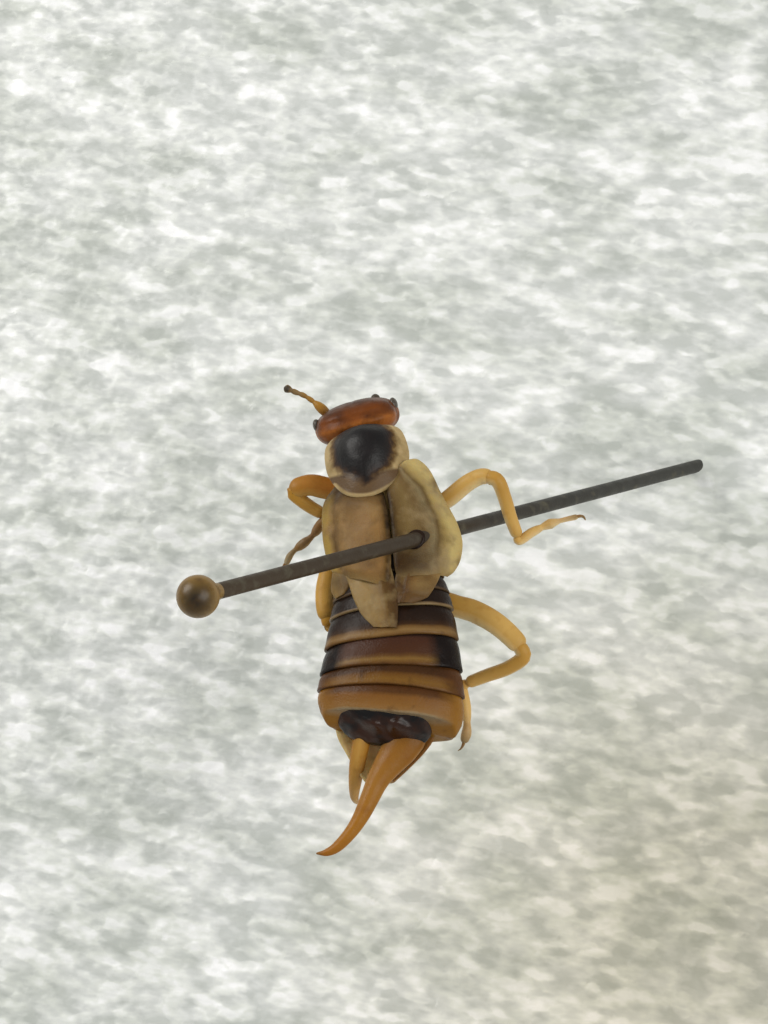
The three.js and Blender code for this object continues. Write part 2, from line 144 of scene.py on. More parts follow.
def marks_of(tree):
    """The two numbers that each piece carries in its skin map."""
    chart = add(tree, "UVMap", {"uv_map": "skin"})
    split = add(tree, "SeparateXYZ", feeds={0: chart.outputs[0]})
    return split.outputs[0], split.outputs[1]


# Chitin bends light by about 1.56; the waxy bloom on a dried skin takes about half its gloss away
CUTICLE = {
    "IOR": 1.56,
    "Specular IOR Level": 0.13,
    "Subsurface Weight": 0.1,
    "Subsurface Radius": (1.0, 0.55, 0.25),
    "Subsurface Scale": 0.2 * MM,
}


# Materials


def blown_foam(colours, sizes):
    """Closed-cell polyethylene foam, blown and skived: milky flattened cells, each with its own white, partly painted
    as glints and shade of their relief.
    """
    material, tree, shader = begin("blown polyethylene foam", {"IOR": 1.5, "Specular IOR Level": 0.4})
    where = add(tree, "TexCoord").outputs["Object"]
    # Cells were drawn out along the sheet, so the pattern is stretched as they are
    drawn = add(
        tree, "Mapping", {"vector_type": "TEXTURE"},
        {
            "Vector": where,
            "Rotation": (0.0, 0.0, sizes.grain_heading),
            "Scale": (sizes.cell_length, sizes.cell_width, sizes.cell_width),
        },
    ).outputs[0]
    flecks = add(tree, "TexNoise", feeds={"Vector": drawn, "Scale": 0.8, "Detail": 2.0})
    cloud = add(tree, "TexNoise", feeds={"Vector": drawn, "Scale": 0.16, "Detail": 2.0})
    bent = add(
        tree, "VectorMath", {"operation": "MULTIPLY_ADD"}, {0: flecks.outputs["Color"], 1: (1.2, 1.2, 1.2), 2: drawn}
    )
    cells = add(
        tree, "TexVoronoi", {"feature": "SMOOTH_F1"},
        {"Vector": bent.outputs[0], "Scale": 0.9, "Smoothness": 0.7},
    )
    # The cells' whites are partly their own milkiness and partly painted light: the whitest flecks are painted glints,
    # the greyer ones painted shade of the cells' relief
    white = add(tree, "SeparateColor", feeds={0: cells.outputs["Color"]})
    soft = add(tree, "TexNoise", feeds={"Vector": drawn, "Scale": 0.56, "Detail": 2.0})
    half = add(tree, "Math", {"operation": "MULTIPLY_ADD"}, {0: white.outputs[0], 1: 0.34, 2: -0.17})
    blend = add(tree, "Math", {"operation": "ADD"}, {0: soft.outputs["Fac"], 1: half.outputs[0]})
    each = add(
        tree, "ValToRGB", feeds={"Fac": blend.outputs[0]},
        stops=[(0.3, "#cdd0cc"), (0.45, "#dee0dd"), (0.57, tuple(colours.foam) + (1.0,)), (0.72, "#ffffff")],
    )
    milky = add(
        tree, "ValToRGB", feeds={"Fac": cloud.outputs["Fac"]}, stops=[(0.36, "#e6e8e4"), (0.6, "#ffffff")],
    )
    both = add(
        tree, "Mix", {"data_type": "RGBA", "blend_type": "MULTIPLY"},
        {0: 1.0, 6: each.outputs[0], 7: milky.outputs[0]},
    )
    # Painted shade: the sheet is darkened and warmed towards its lower right corner
    gap = add(tree, "VectorMath", {"operation": "DISTANCE"}, {0: where, 1: (0.0095, -0.019, 0.009)})
    painted_shade = add(tree, "MapRange", feeds={0: gap.outputs["Value"], 1: 0.004, 2: 0.016, 3: 0.9, 4: 0.0})
    tone = add(
        tree, "Mix", {"data_type": "RGBA", "blend_type": "MULTIPLY"},
        {0: painted_shade.outputs[0], 6: both.outputs[2], 7: tint("#e8e1d0")},
    )
    gloss = add(tree, "MapRange", feeds={0: flecks.outputs["Fac"], 1: 0.35, 2: 0.65, 3: 0.5, 4: 0.3})
    bump = add(
        tree, "Bump", feeds={"Strength": 0.6, "Distance": 0.1 * MM, "Height": flecks.outputs["Fac"]},
    )
    tree.links.new(tone.outputs[2], shader.inputs["Base Color"])
    tree.links.new(gloss.outputs[0], shader.inputs["Roughness"])
    tree.links.new(bump.outputs[0], shader.inputs["Normal"])
    return material


def enamelled_wire(colours):
    """Hard-drawn steel wire dipped in black enamel: satin, and worn browner towards the ball."""
    material, tree, shader = begin("black enamelled steel wire", {"IOR": 1.5, "Specular IOR Level": 0.3})
    where = add(tree, "TexCoord").outputs["Object"]
    along = marks_of(tree)[1]
    tone = add(
        tree, "ValToRGB", feeds={"Fac": along},
        stops=[(0.0, "#3c3d39"), (0.5, tuple(colours.wire) + (1.0,)), (0.74, "#35291a"), (1.0, "#3e3120")],
    )
    worn = blotched(tree, where, tone.outputs[0], "#55503f", 0.35, 0.55, 0.85)
    skinned(tree, shader, where, worn, 0.46, pit=0.06, pit_depth=0.004, fold=0.5, fold_depth=0.006)
    return material


def moulded_nylon(colours):
    """Moulded nylon, tinted amber, with painted light: golden at its rim and dark in the middle of the face turned to
    the camera.
    """
    material, tree, shader = begin("moulded amber nylon", {
        "IOR": 1.53,
        "Specular IOR Level": 0.35,
        "Subsurface Weight": 0.2,
        "Subsurface Radius": (1.0, 0.6, 0.25),
        "Subsurface Scale": 0.4 * MM,
    })
    where = add(tree, "TexCoord").outputs["Object"]
    # Centre of the painted dark middle, just under the face turned to the camera; the golden rim round it is painted
    # light
    inside = (BALL + HOME + (0.05, -0.24, 0.42)) * MM
    gap = add(tree, "VectorMath", {"operation": "DISTANCE"}, {0: where, 1: tuple(inside)})
    # Share from the painted dark middle out to the painted golden rim
    depth = add(tree, "MapRange", feeds={0: gap.outputs["Value"], 1: 0.00012, 2: 0.00062})
    tone = add(
        tree, "ValToRGB", feeds={"Fac": depth.outputs[0]},
        stops=[(0.0, "#241a0b"), (0.35, "#4f3d1c"), (0.75, tuple(colours.nylon) + (1.0,)), (1.0, "#836632")],
    )
    warm = blotched(tree, where, tone.outputs[0], "#4a3412", 0.5, 0.5, 0.8)
    skinned(tree, shader, where, warm, 0.34, pit=0.12, pit_depth=0.004, fold=0.35, fold_depth=0.01)
    return material


def compound_eye():
    """Compound eye of clear lenses over dark pigment: grey-black, with a fine grain of facets."""
    material, tree, shader = begin("faceted eye cuticle", {
        "IOR": 1.5, "Specular IOR Level": 0.4, "Coat Weight": 0.2, "Coat Roughness": 0.15, "Roughness": 0.35,
    })
    where = add(tree, "TexCoord").outputs["Object"]
    # Real facets are about 0.02 mm across; these are drawn at 0.035 mm so that they show
    facets = add(tree, "TexVoronoi", feeds={"Vector": where, "Scale": per(0.035), "Randomness": 0.4})
    tone = add(
        tree, "ValToRGB", feeds={"Fac": facets.outputs["Distance"]},
        stops=[(0.0, "#6c6355"), (0.5, "#463d32"), (0.9, "#241e19")],
    )
    bump = add(
        tree, "Bump", {"invert": True},
        {"Strength": 0.8, "Distance": 0.008 * MM, "Height": facets.outputs["Distance"]},
    )
    tree.links.new(tone.outputs[0], shader.inputs["Base Color"])
    tree.links.new(bump.outputs[0], shader.inputs["Normal"])
    return material


def chestnut_cuticle(colours):
    """Hard tanned head capsule: polished chestnut, lighter along the ridge at its rear, and greyish along the crown,
    where the grey is a painted sheen.
    """
    material, tree, shader = begin("tanned chestnut cuticle", CUTICLE)
    where = add(tree, "TexCoord").outputs["Object"]
    rise, _ = marks_of(tree)
    # The ramp runs from the throat to the crown: darker towards the throat, lightest on the ridge, and greyish at the
    # crown, where the grey is a painted sheen
    tone = add(
        tree, "ValToRGB", feeds={"Fac": rise},
        stops=[
            (0.0, "#50290f"), (0.16, "#6c3914"), (0.3, "#96561f"), (0.46, "#a05f26"),
            (0.58, tuple(colours.head) + (1.0,)), (0.8, "#6a3814"), (1.0, "#5a3a26"),
        ],
    )
    patchy = blotched(tree, where, tone.outputs[0], "#43210c", 0.7, 0.42, 0.7)
    skinned(tree, shader, where, patchy, 0.36, pit=0.045, pit_depth=0.005, fold=0.35, fold_depth=0.03)
    return material


def shield_cuticle(colours):
    """Shield with a hard black disc let into horn-coloured margins that light shines through."""
    material, tree, shader = begin("horn and black shield cuticle", {**CUTICLE, "Specular IOR Level": 0.28})
    where = add(tree, "TexCoord").outputs["Object"]
    out_of_disc, to_rear = marks_of(tree)
    ragged = add(tree, "TexNoise", feeds={"Vector": where, "Scale": per(0.25), "Detail": 3.0})
    shifted = add(
        tree, "Math", {"operation": "MULTIPLY_ADD"},
        {0: ragged.outputs["Fac"], 1: 0.3, 2: out_of_disc},
    )
    margin = blotched(tree, where, tuple(colours.straw) + (1.0,), "#8c7444", 0.6, 0.4, 0.7)
    veil = add(
        tree, "ValToRGB", feeds={"Fac": to_rear},
        stops=[(0.0, "#000000"), (0.5, "#000000"), (0.68, "#ffffff"), (0.94, "#ffffff"), (0.99, "#303030")],
    )
    rear = add(tree, "Mix", {"data_type": "RGBA"}, {0: veil.outputs[0], 6: margin, 7: tint("#5f472a")})
    edge = add(
        tree, "ValToRGB", feeds={"Fac": shifted.outputs[0]},
        stops=[(0.0, "#17101a"), (0.36, "#120b0c"), (0.5, "#28170f"), (0.58, "#4e3820"), (0.66, "#94805a"), (0.8, "#ffffff")],
    )
    tone = add(
        tree, "Mix", {"data_type": "RGBA", "blend_type": "MULTIPLY"},
        {0: 1.0, 6: rear.outputs[2], 7: edge.outputs[0]},
    )
    skinned(tree, shader, where, tone.outputs[2], 0.42, pit=0.06, pit_depth=0.005, fold=0.5, fold_depth=0.035)
    return material


def wing_cuticle(name, stops, pale, dark, front=None, rear=None, dark_spot=None):
    """Leathery wing cover: thin, horn-brown and mottled, so that light and dark show through it."""
    material, tree, shader = begin(name, {**CUTICLE, "Subsurface Weight": 0.2})
    where = add(tree, "TexCoord").outputs["Object"]
    across, along = marks_of(tree)
    wander = add(tree, "TexNoise", feeds={"Vector": where, "Scale": per(1.0), "Detail": 4.0})
    moved = add(tree, "Math", {"operation": "MULTIPLY_ADD"}, {0: wander.outputs["Fac"], 1: 0.12, 2: across})
    placed = add(tree, "Math", {"operation": "SUBTRACT"}, {0: moved.outputs[0], 1: 0.06})
    tone = add(tree, "ValToRGB", feeds={"Fac": placed.outputs[0]}, stops=stops).outputs[0]
    tone = blotched(tree, where, tone, pale, 0.8, 0.48, 0.72)
    tone = blotched(tree, where, tone, dark, 0.9, 0.5, 0.76)
    for ramp, zone in (((0.9, 0.0), front), ((0.0, 0.9), rear)):
        if zone:
            limit, other = zone
            share = add(tree, "MapRange", feeds={0: along, 1: limit[0], 2: limit[1], 3: ramp[0], 4: ramp[1]})
            tone = add(
                tree, "Mix", {"data_type": "RGBA"}, {0: share.outputs[0], 6: tone, 7: tint(other)}
            ).outputs[2]
    # Darker round a given spot beside the pin's entry
    if dark_spot is not None:
        gap = add(tree, "VectorMath", {"operation": "DISTANCE"}, {0: where, 1: tuple((dark_spot + HOME) * MM)})
        share = add(
            tree, "MapRange", feeds={0: gap.outputs["Value"], 1: 0.2 * MM, 2: 0.75 * MM, 3: 0.8, 4: 0.0}
        )
        tone = add(
            tree, "Mix", {"data_type": "RGBA"}, {0: share.outputs[0], 6: tone, 7: tint("#33200e")}
        ).outputs[2]
    skinned(tree, shader, where, tone, 0.42, pit=0.05, pit_depth=0.008, fold=0.6, fold_depth=0.05)
    return material


def banded_cuticle(name, bands, flank, belly, roughness=0.34):
    """Hard ring of the hind body: tanned in bands from front to rear, and paler under the belly."""
    material, tree, shader = begin(name, CUTICLE)
    where = add(tree, "TexCoord").outputs["Object"]
    around, along = marks_of(tree)
    wander = add(tree, "TexNoise", feeds={"Vector": where, "Scale": per(0.8), "Detail": 3.0})
    moved = add(tree, "Math", {"operation": "MULTIPLY_ADD"}, {0: wander.outputs["Fac"], 1: 0.16, 2: along})
    placed = add(tree, "Math", {"operation": "SUBTRACT"}, {0: moved.outputs[0], 1: 0.08})
    back = add(tree, "ValToRGB", feeds={"Fac": placed.outputs[0]}, stops=bands)
    centred = add(tree, "Math", {"operation": "SUBTRACT"}, {0: around, 1: 0.5})
    aside = add(tree, "Math", {"operation": "ABSOLUTE"}, {0: centred.outputs[0]})
    share = add(
        tree, "ValToRGB", feeds={"Fac": aside.outputs[0]},
        stops=[(0.0, "#000000"), (flank[1], "#000000"), (flank[2], "#ffffff")],
    )
    side = add(tree, "Mix", {"data_type": "RGBA"}, {0: share.outputs[0], 6: back.outputs[0], 7: tint(flank[0])})
    under = add(tree, "ValToRGB", feeds={"Fac": aside.outputs[0]}, stops=[(0.0, "#000000"), (0.3, "#000000"), (0.36, "#ffffff")])
    whole = add(tree, "Mix", {"data_type": "RGBA"}, {0: under.outputs[0], 6: side.outputs[2], 7: tint(belly)})
    tone = blotched(tree, where, whole.outputs[2], "#2c1709", 0.45, 0.58, 0.95)
    skinned(tree, shader, where, tone, roughness, pit=0.06, pit_depth=0.008, fold=0.35, fold_depth=0.03)
    return material


def black_cuticle(colours):
    """The hardest plate, over the forceps' hinges: black and polished, so that it throws sharp glints."""
    material, tree, shader = begin("polished black cuticle", {
        "IOR": 1.58, "Specular IOR Level": 0.22, "Coat Weight": 0.14, "Coat Roughness": 0.16,
    })
    where = add(tree, "TexCoord").outputs["Object"]
    tone = blotched(tree, where, tuple(colours.black) + (1.0,), "#331806", 0.6, 0.4, 0.6)
    skinned(tree, shader, where, tone, 0.3, pit=0.07, pit_depth=0.003, fold=0.42, fold_depth=0.06)
    return material


def amber_cuticle(name, stops, light, blot="#8a5c1e", roughness=0.34):
    """Thin-walled limb cuticle: amber, with painted rim light: lighter along the edges, where light would come through
    it.
    """
    material, tree, shader = begin(name, CUTICLE)
    where = add(tree, "TexCoord").outputs["Object"]
    around, along = marks_of(tree)
    tone = add(tree, "ValToRGB", feeds={"Fac": along}, stops=stops)
    # Painted rim light: lighter along both sides of the limb, broadly on one side and in a thin line on the other
    edge = add(
        tree, "ValToRGB", feeds={"Fac": around},
        stops=[
            (0.0, "#e8e8e8"), (0.09, "#b0b0b0"), (0.19, "#000000"), (0.44, "#000000"),
            (0.5, "#a0a0a0"), (0.56, "#000000"), (0.82, "#000000"), (0.91, "#b0b0b0"), (1.0, "#e8e8e8"),
        ],
    )
    lit = add(tree, "Mix", {"data_type": "RGBA"}, {0: edge.outputs[0], 6: tone.outputs[0], 7: tint(light)})
    patchy = blotched(tree, where, lit.outputs[2], blot, 0.5, 0.55, 0.95)
    skinned(tree, shader, where, patchy, roughness, pit=0.04, pit_depth=0.005, fold=0.25, fold_depth=0.02)
    return material


# Shapes


def spline(points, count=200):
    """Even places along a smooth curve through some points."""
    p = np.asarray(points, float)
    p = np.vstack([2 * p[0] - p[1], p, 2 * p[-1] - p[-2]])
    t = np.linspace(0, 1, 24, endpoint=False)[:, None]
    pieces = []
    for a, b, c, d in zip(p, p[1:], p[2:], p[3:]):
        pieces.append(
            0.5 * (2 * b + (c - a) * t + (2 * a - 5 * b + 4 * c - d) * t**2 + (3 * b - a - 3 * c + d) * t**3)
        )
    dense = np.vstack(pieces + [p[-2][None]])
    run = np.concatenate([[0], np.cumsum(np.linalg.norm(np.diff(dense, axis=0), axis=1))])
    even = np.linspace(0, run[-1], count)
    return np.stack([np.interp(even, run, dense[:, k]) for k in range(3)], axis=1)


def unit(vectors):
    """The same directions with length one."""
    return vectors / np.maximum(np.linalg.norm(vectors, axis=-1, keepdims=True), 1e-9)


def swell(x, centre, width):
    """A smooth bump of height one."""
    return np.exp(-(((x - centre) / width) ** 2))


def ease(low, high, x):
    """Rises smoothly from 0 at low to 1 at high."""
    t = np.clip((x - low) / (high - low), 0, 1)
    return t * t * (3 - 2 * t)


def skin(name, rows, marks=None, ends="fan"):
    """A mesh over closed rings of points, in millimetres of the animal's own frame."""
    rows = np.asarray(rows, float)
    count, size = rows.shape[:2]
    if marks is None:
        around, along = np.meshgrid(np.linspace(0, 1, size + 1), np.linspace(0, 1, count))
        marks = np.stack([around, along], axis=2)
    elif marks.shape[1] == size:
        marks = np.concatenate([marks, marks[:, :1]], axis=1)
    corners = ((rows.reshape(-1, 3) + HOME) * MM).tolist()
    faces, charts = [], []
    for i in range(count - 1):
        for j in range(size):
            k = (j + 1) % size
            faces.append((i * size + j, i * size + k, (i + 1) * size + k, (i + 1) * size + j))
            charts += [marks[i][j], marks[i][j + 1], marks[i + 1][j + 1], marks[i + 1][j]]
    for end in (0, count - 1):
        first = end * size
        if ends == "fan":
            corners.append(np.mean(corners[first : first + size], axis=0).tolist())
            for j in range(size):
                faces.append((first + j, first + (j + 1) % size, len(corners) - 1))
                charts += [marks[end][j], marks[end][j + 1], marks[end][j]]
        elif ends == "strip":
            m = (size - 2) // 2
            strip = [(j, j + 1, 2 * m - j - 1, 2 * m - j) for j in range(m - 1)]
            for face in strip + [(m - 1, m, m + 1), (0, 2 * m, 2 * m + 1)]:
                faces.append(tuple(first + j for j in face))
                charts += [marks[end][j] for j in face]
    mesh = bpy.data.meshes.new(name)
    mesh.from_pydata(corners, [], faces)
    chart = mesh.uv_layers.new(name="skin")
    chart.data.foreach_set("uv", np.asarray(charts, float).ravel())
    shell = bmesh.new()
    shell.from_mesh(mesh)
    bmesh.ops.remove_doubles(shell, verts=shell.verts, dist=1e-4 * MM)
    bmesh.ops.recalc_face_normals(shell, faces=shell.faces)
    shell.to_mesh(mesh)
    shell.free()
    mesh.shade_smooth()
    mesh.set_sharp_from_angle(angle=math.radians(62))
    piece = bpy.data.objects.new(name, mesh)
    bpy.context.scene.collection.objects.link(piece)
    return piece


def settle(piece, material, slot, *nodes):
    """Gives a piece its material and its place on the body, and hides the parts that it replaces."""
    piece.data.materials.append(material)
    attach(piece, "root")
    if nodes:
        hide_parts(*nodes)
    return piece


def rod(route, widths, depths=None, up=(0, 0, 1), sides=20, rings=26, keel=0.0):
    """Rings round a smooth rod with rounded ends; its widths and depths are spread evenly along it."""
    line = spline(route)
    run = np.concatenate([[0], np.cumsum(np.linalg.norm(np.diff(line, axis=0), axis=1))])
    whole = run[-1]
    depths = depths or widths
    turn = np.linspace(0.12, math.pi / 2, 6)
    nose = min(0.5 * widths[0], 0.3 * whole) * (1 - np.cos(turn))
    tail = min(0.5 * widths[-1], 0.3 * whole) * (1 - np.cos(turn))
    at = np.concatenate([nose, np.linspace(nose[-1], whole - tail[-1], rings)[1:-1], (whole - tail)[::-1]])
    fullness = np.concatenate([np.sin(turn), np.ones(rings - 2), np.sin(turn)[::-1]])
    centre = np.stack([np.interp(at, run, line[:, k]) for k in range(3)], axis=1)
    slope = np.gradient(line, axis=0)
    tangent = unit(np.stack([np.interp(at, run, slope[:, k]) for k in range(3)], axis=1))
    side = unit(np.cross(tangent, np.asarray(up, float)))
    lift = np.cross(side, tangent)
    t = at / whole
    wide = np.interp(t, np.linspace(0, 1, len(widths)), widths) * fullness / 2
    deep = np.interp(t, np.linspace(0, 1, len(depths)), depths) * fullness / 2
    angle = np.linspace(0, 2 * math.pi, sides, endpoint=False)
    ridge = 1 + keel * swell(np.abs(angle - math.pi / 2), 0, 0.5)
    return (
        centre[:, None]
        + side[:, None] * (np.cos(angle) * ridge)[None, :, None] * wide[:, None, None]
        + lift[:, None] * (np.sin(angle) * ridge)[None, :, None] * deep[:, None, None]
    )


def joined(before, after, inside):
    """A limb joint's route, begun a little inside the joint before it."""
    back = unit(np.array(before[-2], float) - before[-1])
    return [np.array(before[-1]) + back * inside] + list(after)


def panel(left, right, crown, thickness, across=40, lengthwise=56, lift=None, seen=None):
    """Rings and marks of a thin curved plate between two edges that run from front to rear."""
    a, b = spline(left, lengthwise), spline(right, lengthwise)
    u = np.linspace(0, 1, across)[None, :, None]
    v = np.linspace(0, 1, lengthwise)[:, None, None]
    top = a[:, None] * (1 - u) + b[:, None] * u
    u, v = u[..., 0] + 0 * v[..., 0], v[..., 0] + 0 * u[..., 0]
    top[..., 2] += crown * 4 * u * (1 - u)
    if lift:
        top[..., 2] += lift(u, v, top)
    marks = seen(u, v, top) if seen else np.stack([u, v], axis=2)
    side = unit(np.gradient(top, axis=1))
    normal = unit(np.cross(side, np.gradient(top, axis=0)))
    normal = normal * np.where(normal[..., 2:] < 0, -1, 1)
    low = top - normal * thickness
    middle = (top + low) / 2
    ring = [top, middle[:, -1:] + side[:, -1:] * thickness / 2, low[:, ::-1], middle[:, :1] - side[:, :1] * thickness / 2]
    chart = [marks, marks[:, -1:], marks[:, ::-1], marks[:, :1]]
    return np.concatenate(ring, axis=1), np.concatenate(chart, axis=1)


# Head's own axes: right, down its length, and out of its crown. It hangs face down and turns a little.
HEAD_YAW, HEAD_DROOP = math.radians(10), math.radians(65)
HEAD = np.array((-1.8, 4.75, -0.78))
HEAD_RIGHT = np.array((math.cos(HEAD_YAW), math.sin(HEAD_YAW), 0))
AHEAD = np.array((-math.sin(HEAD_YAW), math.cos(HEAD_YAW), 0))
HEAD_DOWN = AHEAD * math.cos(HEAD_DROOP) - np.array((0, 0, math.sin(HEAD_DROOP)))
HEAD_CROWN = AHEAD * math.sin(HEAD_DROOP) + np.array((0, 0, math.cos(HEAD_DROOP)))


def on_head(right, down, crown):
    """A place given along the head's own axes."""
    right, down, crown = (np.asarray(v, float)[..., None] for v in (right, down, crown))
    return HEAD + right * HEAD_RIGHT + down * HEAD_DOWN + crown * HEAD_CROWN


def globe(count, size, square=1.0):
    """Places on a unit ball whose poles lie to the left and right, as right, down and crown."""
    turn, around = np.meshgrid(
        np.linspace(0.03, math.pi - 0.03, count), np.linspace(0, 2 * math.pi, size, endpoint=False), indexing="ij"
    )
    axes = (-np.cos(turn), np.sin(turn) * np.cos(around), np.sin(turn) * np.sin(around))
    return tuple(np.sign(v) * np.abs(v) ** square for v in axes)


# Trunk's half width, half depth and middle at even places from y 1.9 to y -5.4
TRUNK_Y = np.linspace(1.9, -5.4, 10)
TRUNK_WIDE = (1.2, 1.4, 1.42, 1.5, 1.74, 1.9, 2.02, 2.12, 2.16, 1.98)
TRUNK_DEEP = (0.95, 0.95, 0.925, 0.975, 1.05, 1.1, 1.125, 1.125, 1.1, 0.95)
TRUNK_X = (-1.15, -0.98, -0.9, -0.95, -1.0, -1.04, -1.1, -1.16, -1.22, -1.28)
TRUNK_Z = -0.22


def trunk_ring(y, proud, angle):
    """One ring of points round the trunk, stood proud of it or tucked in."""
    smooth = spline(np.stack([TRUNK_Y, TRUNK_WIDE, TRUNK_DEEP], axis=1), 300)
    middle = spline(np.stack([TRUNK_Y, TRUNK_X, TRUNK_X], axis=1), 300)
    wide = np.interp(-y, -smooth[:, 0], smooth[:, 1]) + proud
    deep = np.interp(-y, -smooth[:, 0], smooth[:, 2]) + proud
    # A crease runs along each side, where the back plates meet the belly plates
    crease = 1 - 0.03 * swell(np.abs(angle), 1.78, 0.09)
    x = np.interp(-y, -middle[:, 0], middle[:, 1]) + np.sin(angle) * wide * crease
    z = TRUNK_Z + np.cos(angle) * deep * crease
    return np.stack([x, np.full_like(x, y), z], axis=1)


def skewed(places):
    """The hind body twists: its rear rings lie further back on the right, and lower down."""
    x, y = places[..., 0], places[..., 1]
    twist = 0.2 * ease(-2.6, -5.2, y)
    moved = places.copy()
    moved[..., 1] = y - twist * (x + 1.25)
    return moved


# Legs: hip, knee, ankle and foot, from the body outwards
LEGS = {
    "front_left": {
        "coxa": [(-1.75, 3.05, -0.85), (-2.15, 2.72, -1.22)],
        "femur": [(-2.2, 2.62, -1.2), (-2.91, 2.78, -1.12), (-3.45, 2.92, -1.03), (-4.1, 2.82, -1.02)],
        "size": 1.27,
        "tibia": [(-3.98, 2.76, -1.12), (-3.74, 2.5, -1.25), (-3.42, 2.26, -1.4), (-3.1, 2.06, -1.5)],
        "tarsus": [(-3.1, 1.96, -1.56), (-3.31, 1.75, -1.65), (-3.62, 1.44, -1.72), (-4.24, 1.06, -1.85), (-4.5, 0.76, -2.03)],
        "foot": [1.1, 1.2, 1.3, 1.35, 1.3, 1.15, 0.7, 0.85, 1.15, 1.2, 1.05, 0.6, 0.7, 0.85, 0.8, 0.7],
    },
    "front_right": {
        "coxa": [(-0.95, 3.0, -0.85), (-0.75, 2.6, -1.25)],
        "femur": [(-0.7, 2.55, -1.32), (-0.42, 2.1, -1.62), (-0.3, 1.4, -1.85), (-0.4, 0.75, -1.95)],
        "tibia": [(-0.5, 0.72, -2.1), (-0.62, 1.35, -2.42), (-0.72, 1.95, -2.65)],
        "tarsus": [(-0.78, 2.0, -2.75), (-0.9, 2.45, -2.95), (-1.1, 2.95, -3.0)],
    },
    "middle_left": {
        "coxa": [(-1.55, 1.15, -0.95), (-2.05, 0.95, -1.22)],
        "femur": [(-2.15, 0.92, -1.2), (-2.72, 0.5, -1.0), (-3.05, -0.4, -0.87), (-3.13, -1.1, -0.82), (-3.07, -1.62, -0.84)],
        "size": 1.1,
        "tibia": [(-3.02, -1.7, -1.05), (-2.92, -1.0, -1.3), (-2.7, -0.2, -1.6), (-2.5, 0.35, -1.9)],
        "tarsus": [(-2.44, 0.4, -2.05), (-2.2, 0.95, -2.3), (-1.95, 1.35, -2.55)],
    },
    "middle_right": {
        "coxa": [(-0.6, 1.35, -0.95), (-0.15, 1.55, -1.2)],
        "femur": [(-0.05, 1.6, -1.2), (0.8, 1.94, -1.05), (1.45, 2.33, -0.92), (1.93, 2.47, -0.8), (2.28, 2.34, -0.68)],
        "tibia": [(2.42, 2.26, -0.74), (2.57, 1.81, -1.1), (2.67, 1.29, -1.5), (2.82, 0.76, -1.9)],
        "tarsus": [(2.84, 0.68, -1.98), (3.26, 0.92, -2.0), (3.77, 1.12, -2.03), (4.18, 1.22, -2.06), (4.7, 1.32, -2.15)],
        "hook": (0.3, -0.9, -0.2),
    },
    "hind_left": {
        "coxa": [(-1.4, -0.35, -1.0), (-1.72, -0.7, -1.38)],
        "femur": [(-1.75, -0.8, -1.55), (-2.0, -1.5, -1.78), (-2.12, -2.3, -1.86), (-2.0, -3.05, -1.9)],
        "tibia": [(-1.9, -3.1, -2.1), (-1.66, -2.4, -2.42), (-1.5, -1.6, -2.62), (-1.42, -0.95, -2.72)],
        "tarsus": [(-1.4, -0.88, -2.86), (-1.32, -0.3, -3.02), (-1.38, 0.3, -3.2)],
    },
    "hind_right": {
        "coxa": [(-0.5, -0.4, -1.0), (-0.18, -0.72, -1.32)],
        "femur": [(-0.1, -0.85, -1.4), (0.71, -1.38, -1.3), (1.36, -1.68, -1.27), (1.98, -2.14, -1.2), (2.46, -2.66, -1.2), (2.72, -3.04, -1.26)],
        "tibia": [(2.73, -3.2, -1.42), (2.22, -3.42, -1.72), (1.5, -3.51, -2.02), (0.85, -3.6, -2.3)],
        "tarsus": [(0.7, -3.7, -2.42), (0.75, -4.29, -2.55), (0.74, -4.7, -2.66), (0.69, -5.01, -2.78), (0.56, -5.28, -2.95)],
        "foot": [1.0, 1.2, 1.3, 1.4, 1.4, 1.4, 1.35, 1.3, 1.2, 1.1, 0.9, 1.0, 1.2, 1.3, 1.1, 0.9],
        "size": 1.25,
        "hook": (-0.8, -0.3, -0.3),
    },
}

# Outline of the shield, and of the black disc on it, seen from above; each goes round from the front
SHIELD_OUTLINE = [
    (-1.45, 3.98, 0.7), (-2.0, 3.9, 0.58), (-2.42, 3.74, 0.42), (-2.64, 3.48, 0.34), (-2.66, 3.01, 0.34),
    (-2.55, 2.53, 0.44), (-2.25, 2.02, 0.68), (-1.9, 1.72, 0.86), (-1.38, 1.62, 0.92), (-0.96, 1.74, 0.88),
    (-0.54, 2.02, 0.74), (-0.34, 2.38, 0.58), (-0.16, 2.87, 0.38), (-0.18, 3.33, 0.34), (-0.32, 3.78, 0.36),
    (-0.56, 3.96, 0.44), (-1.0, 4.0, 0.6),
]
DISC_OUTLINE = [
    (-1.4, 4.2), (-1.9, 4.15), (-2.22, 3.7), (-2.32, 3.2), (-2.2, 2.8), (-1.97, 2.52), (-1.6, 2.28),
    (-1.38, 2.14), (-1.15, 2.34), (-0.82, 2.58), (-0.63, 2.95), (-0.62, 3.42), (-0.82, 3.9),
]


def closed_curve(points, count):
    """Even places round a smooth closed curve."""
    p = [tuple(q) + (0.0,) * (3 - len(q)) for q in points]
    laps = spline(p + p + p, 3 * count + 1)
    return laps[count : 2 * count]


def outside(places, outline):
    """How far each place lies outside a closed outline, in millimetres; negative inside."""
    flat = places[..., :2].reshape(-1, 2)
    loop = outline[:, :2]
    gap = np.sqrt(((flat[:, None] - loop[None]) ** 2).sum(2)).min(1)
    x, y = flat[:, :1], flat[:, 1:]
    (x1, y1), (x2, y2) = loop.T, np.roll(loop, -1, axis=0).T
    crosses = (y1 > y) != (y2 > y)
    where = x1 + (y - y1) * (x2 - x1) / np.where(np.abs(y2 - y1) < 1e-9, 1e-9, y2 - y1)
    inside = (crosses & (x < where)).sum(1) % 2 == 1
    return np.where(inside, -gap, gap).reshape(places.shape[:-1])


# Sizes and colours that a user would change


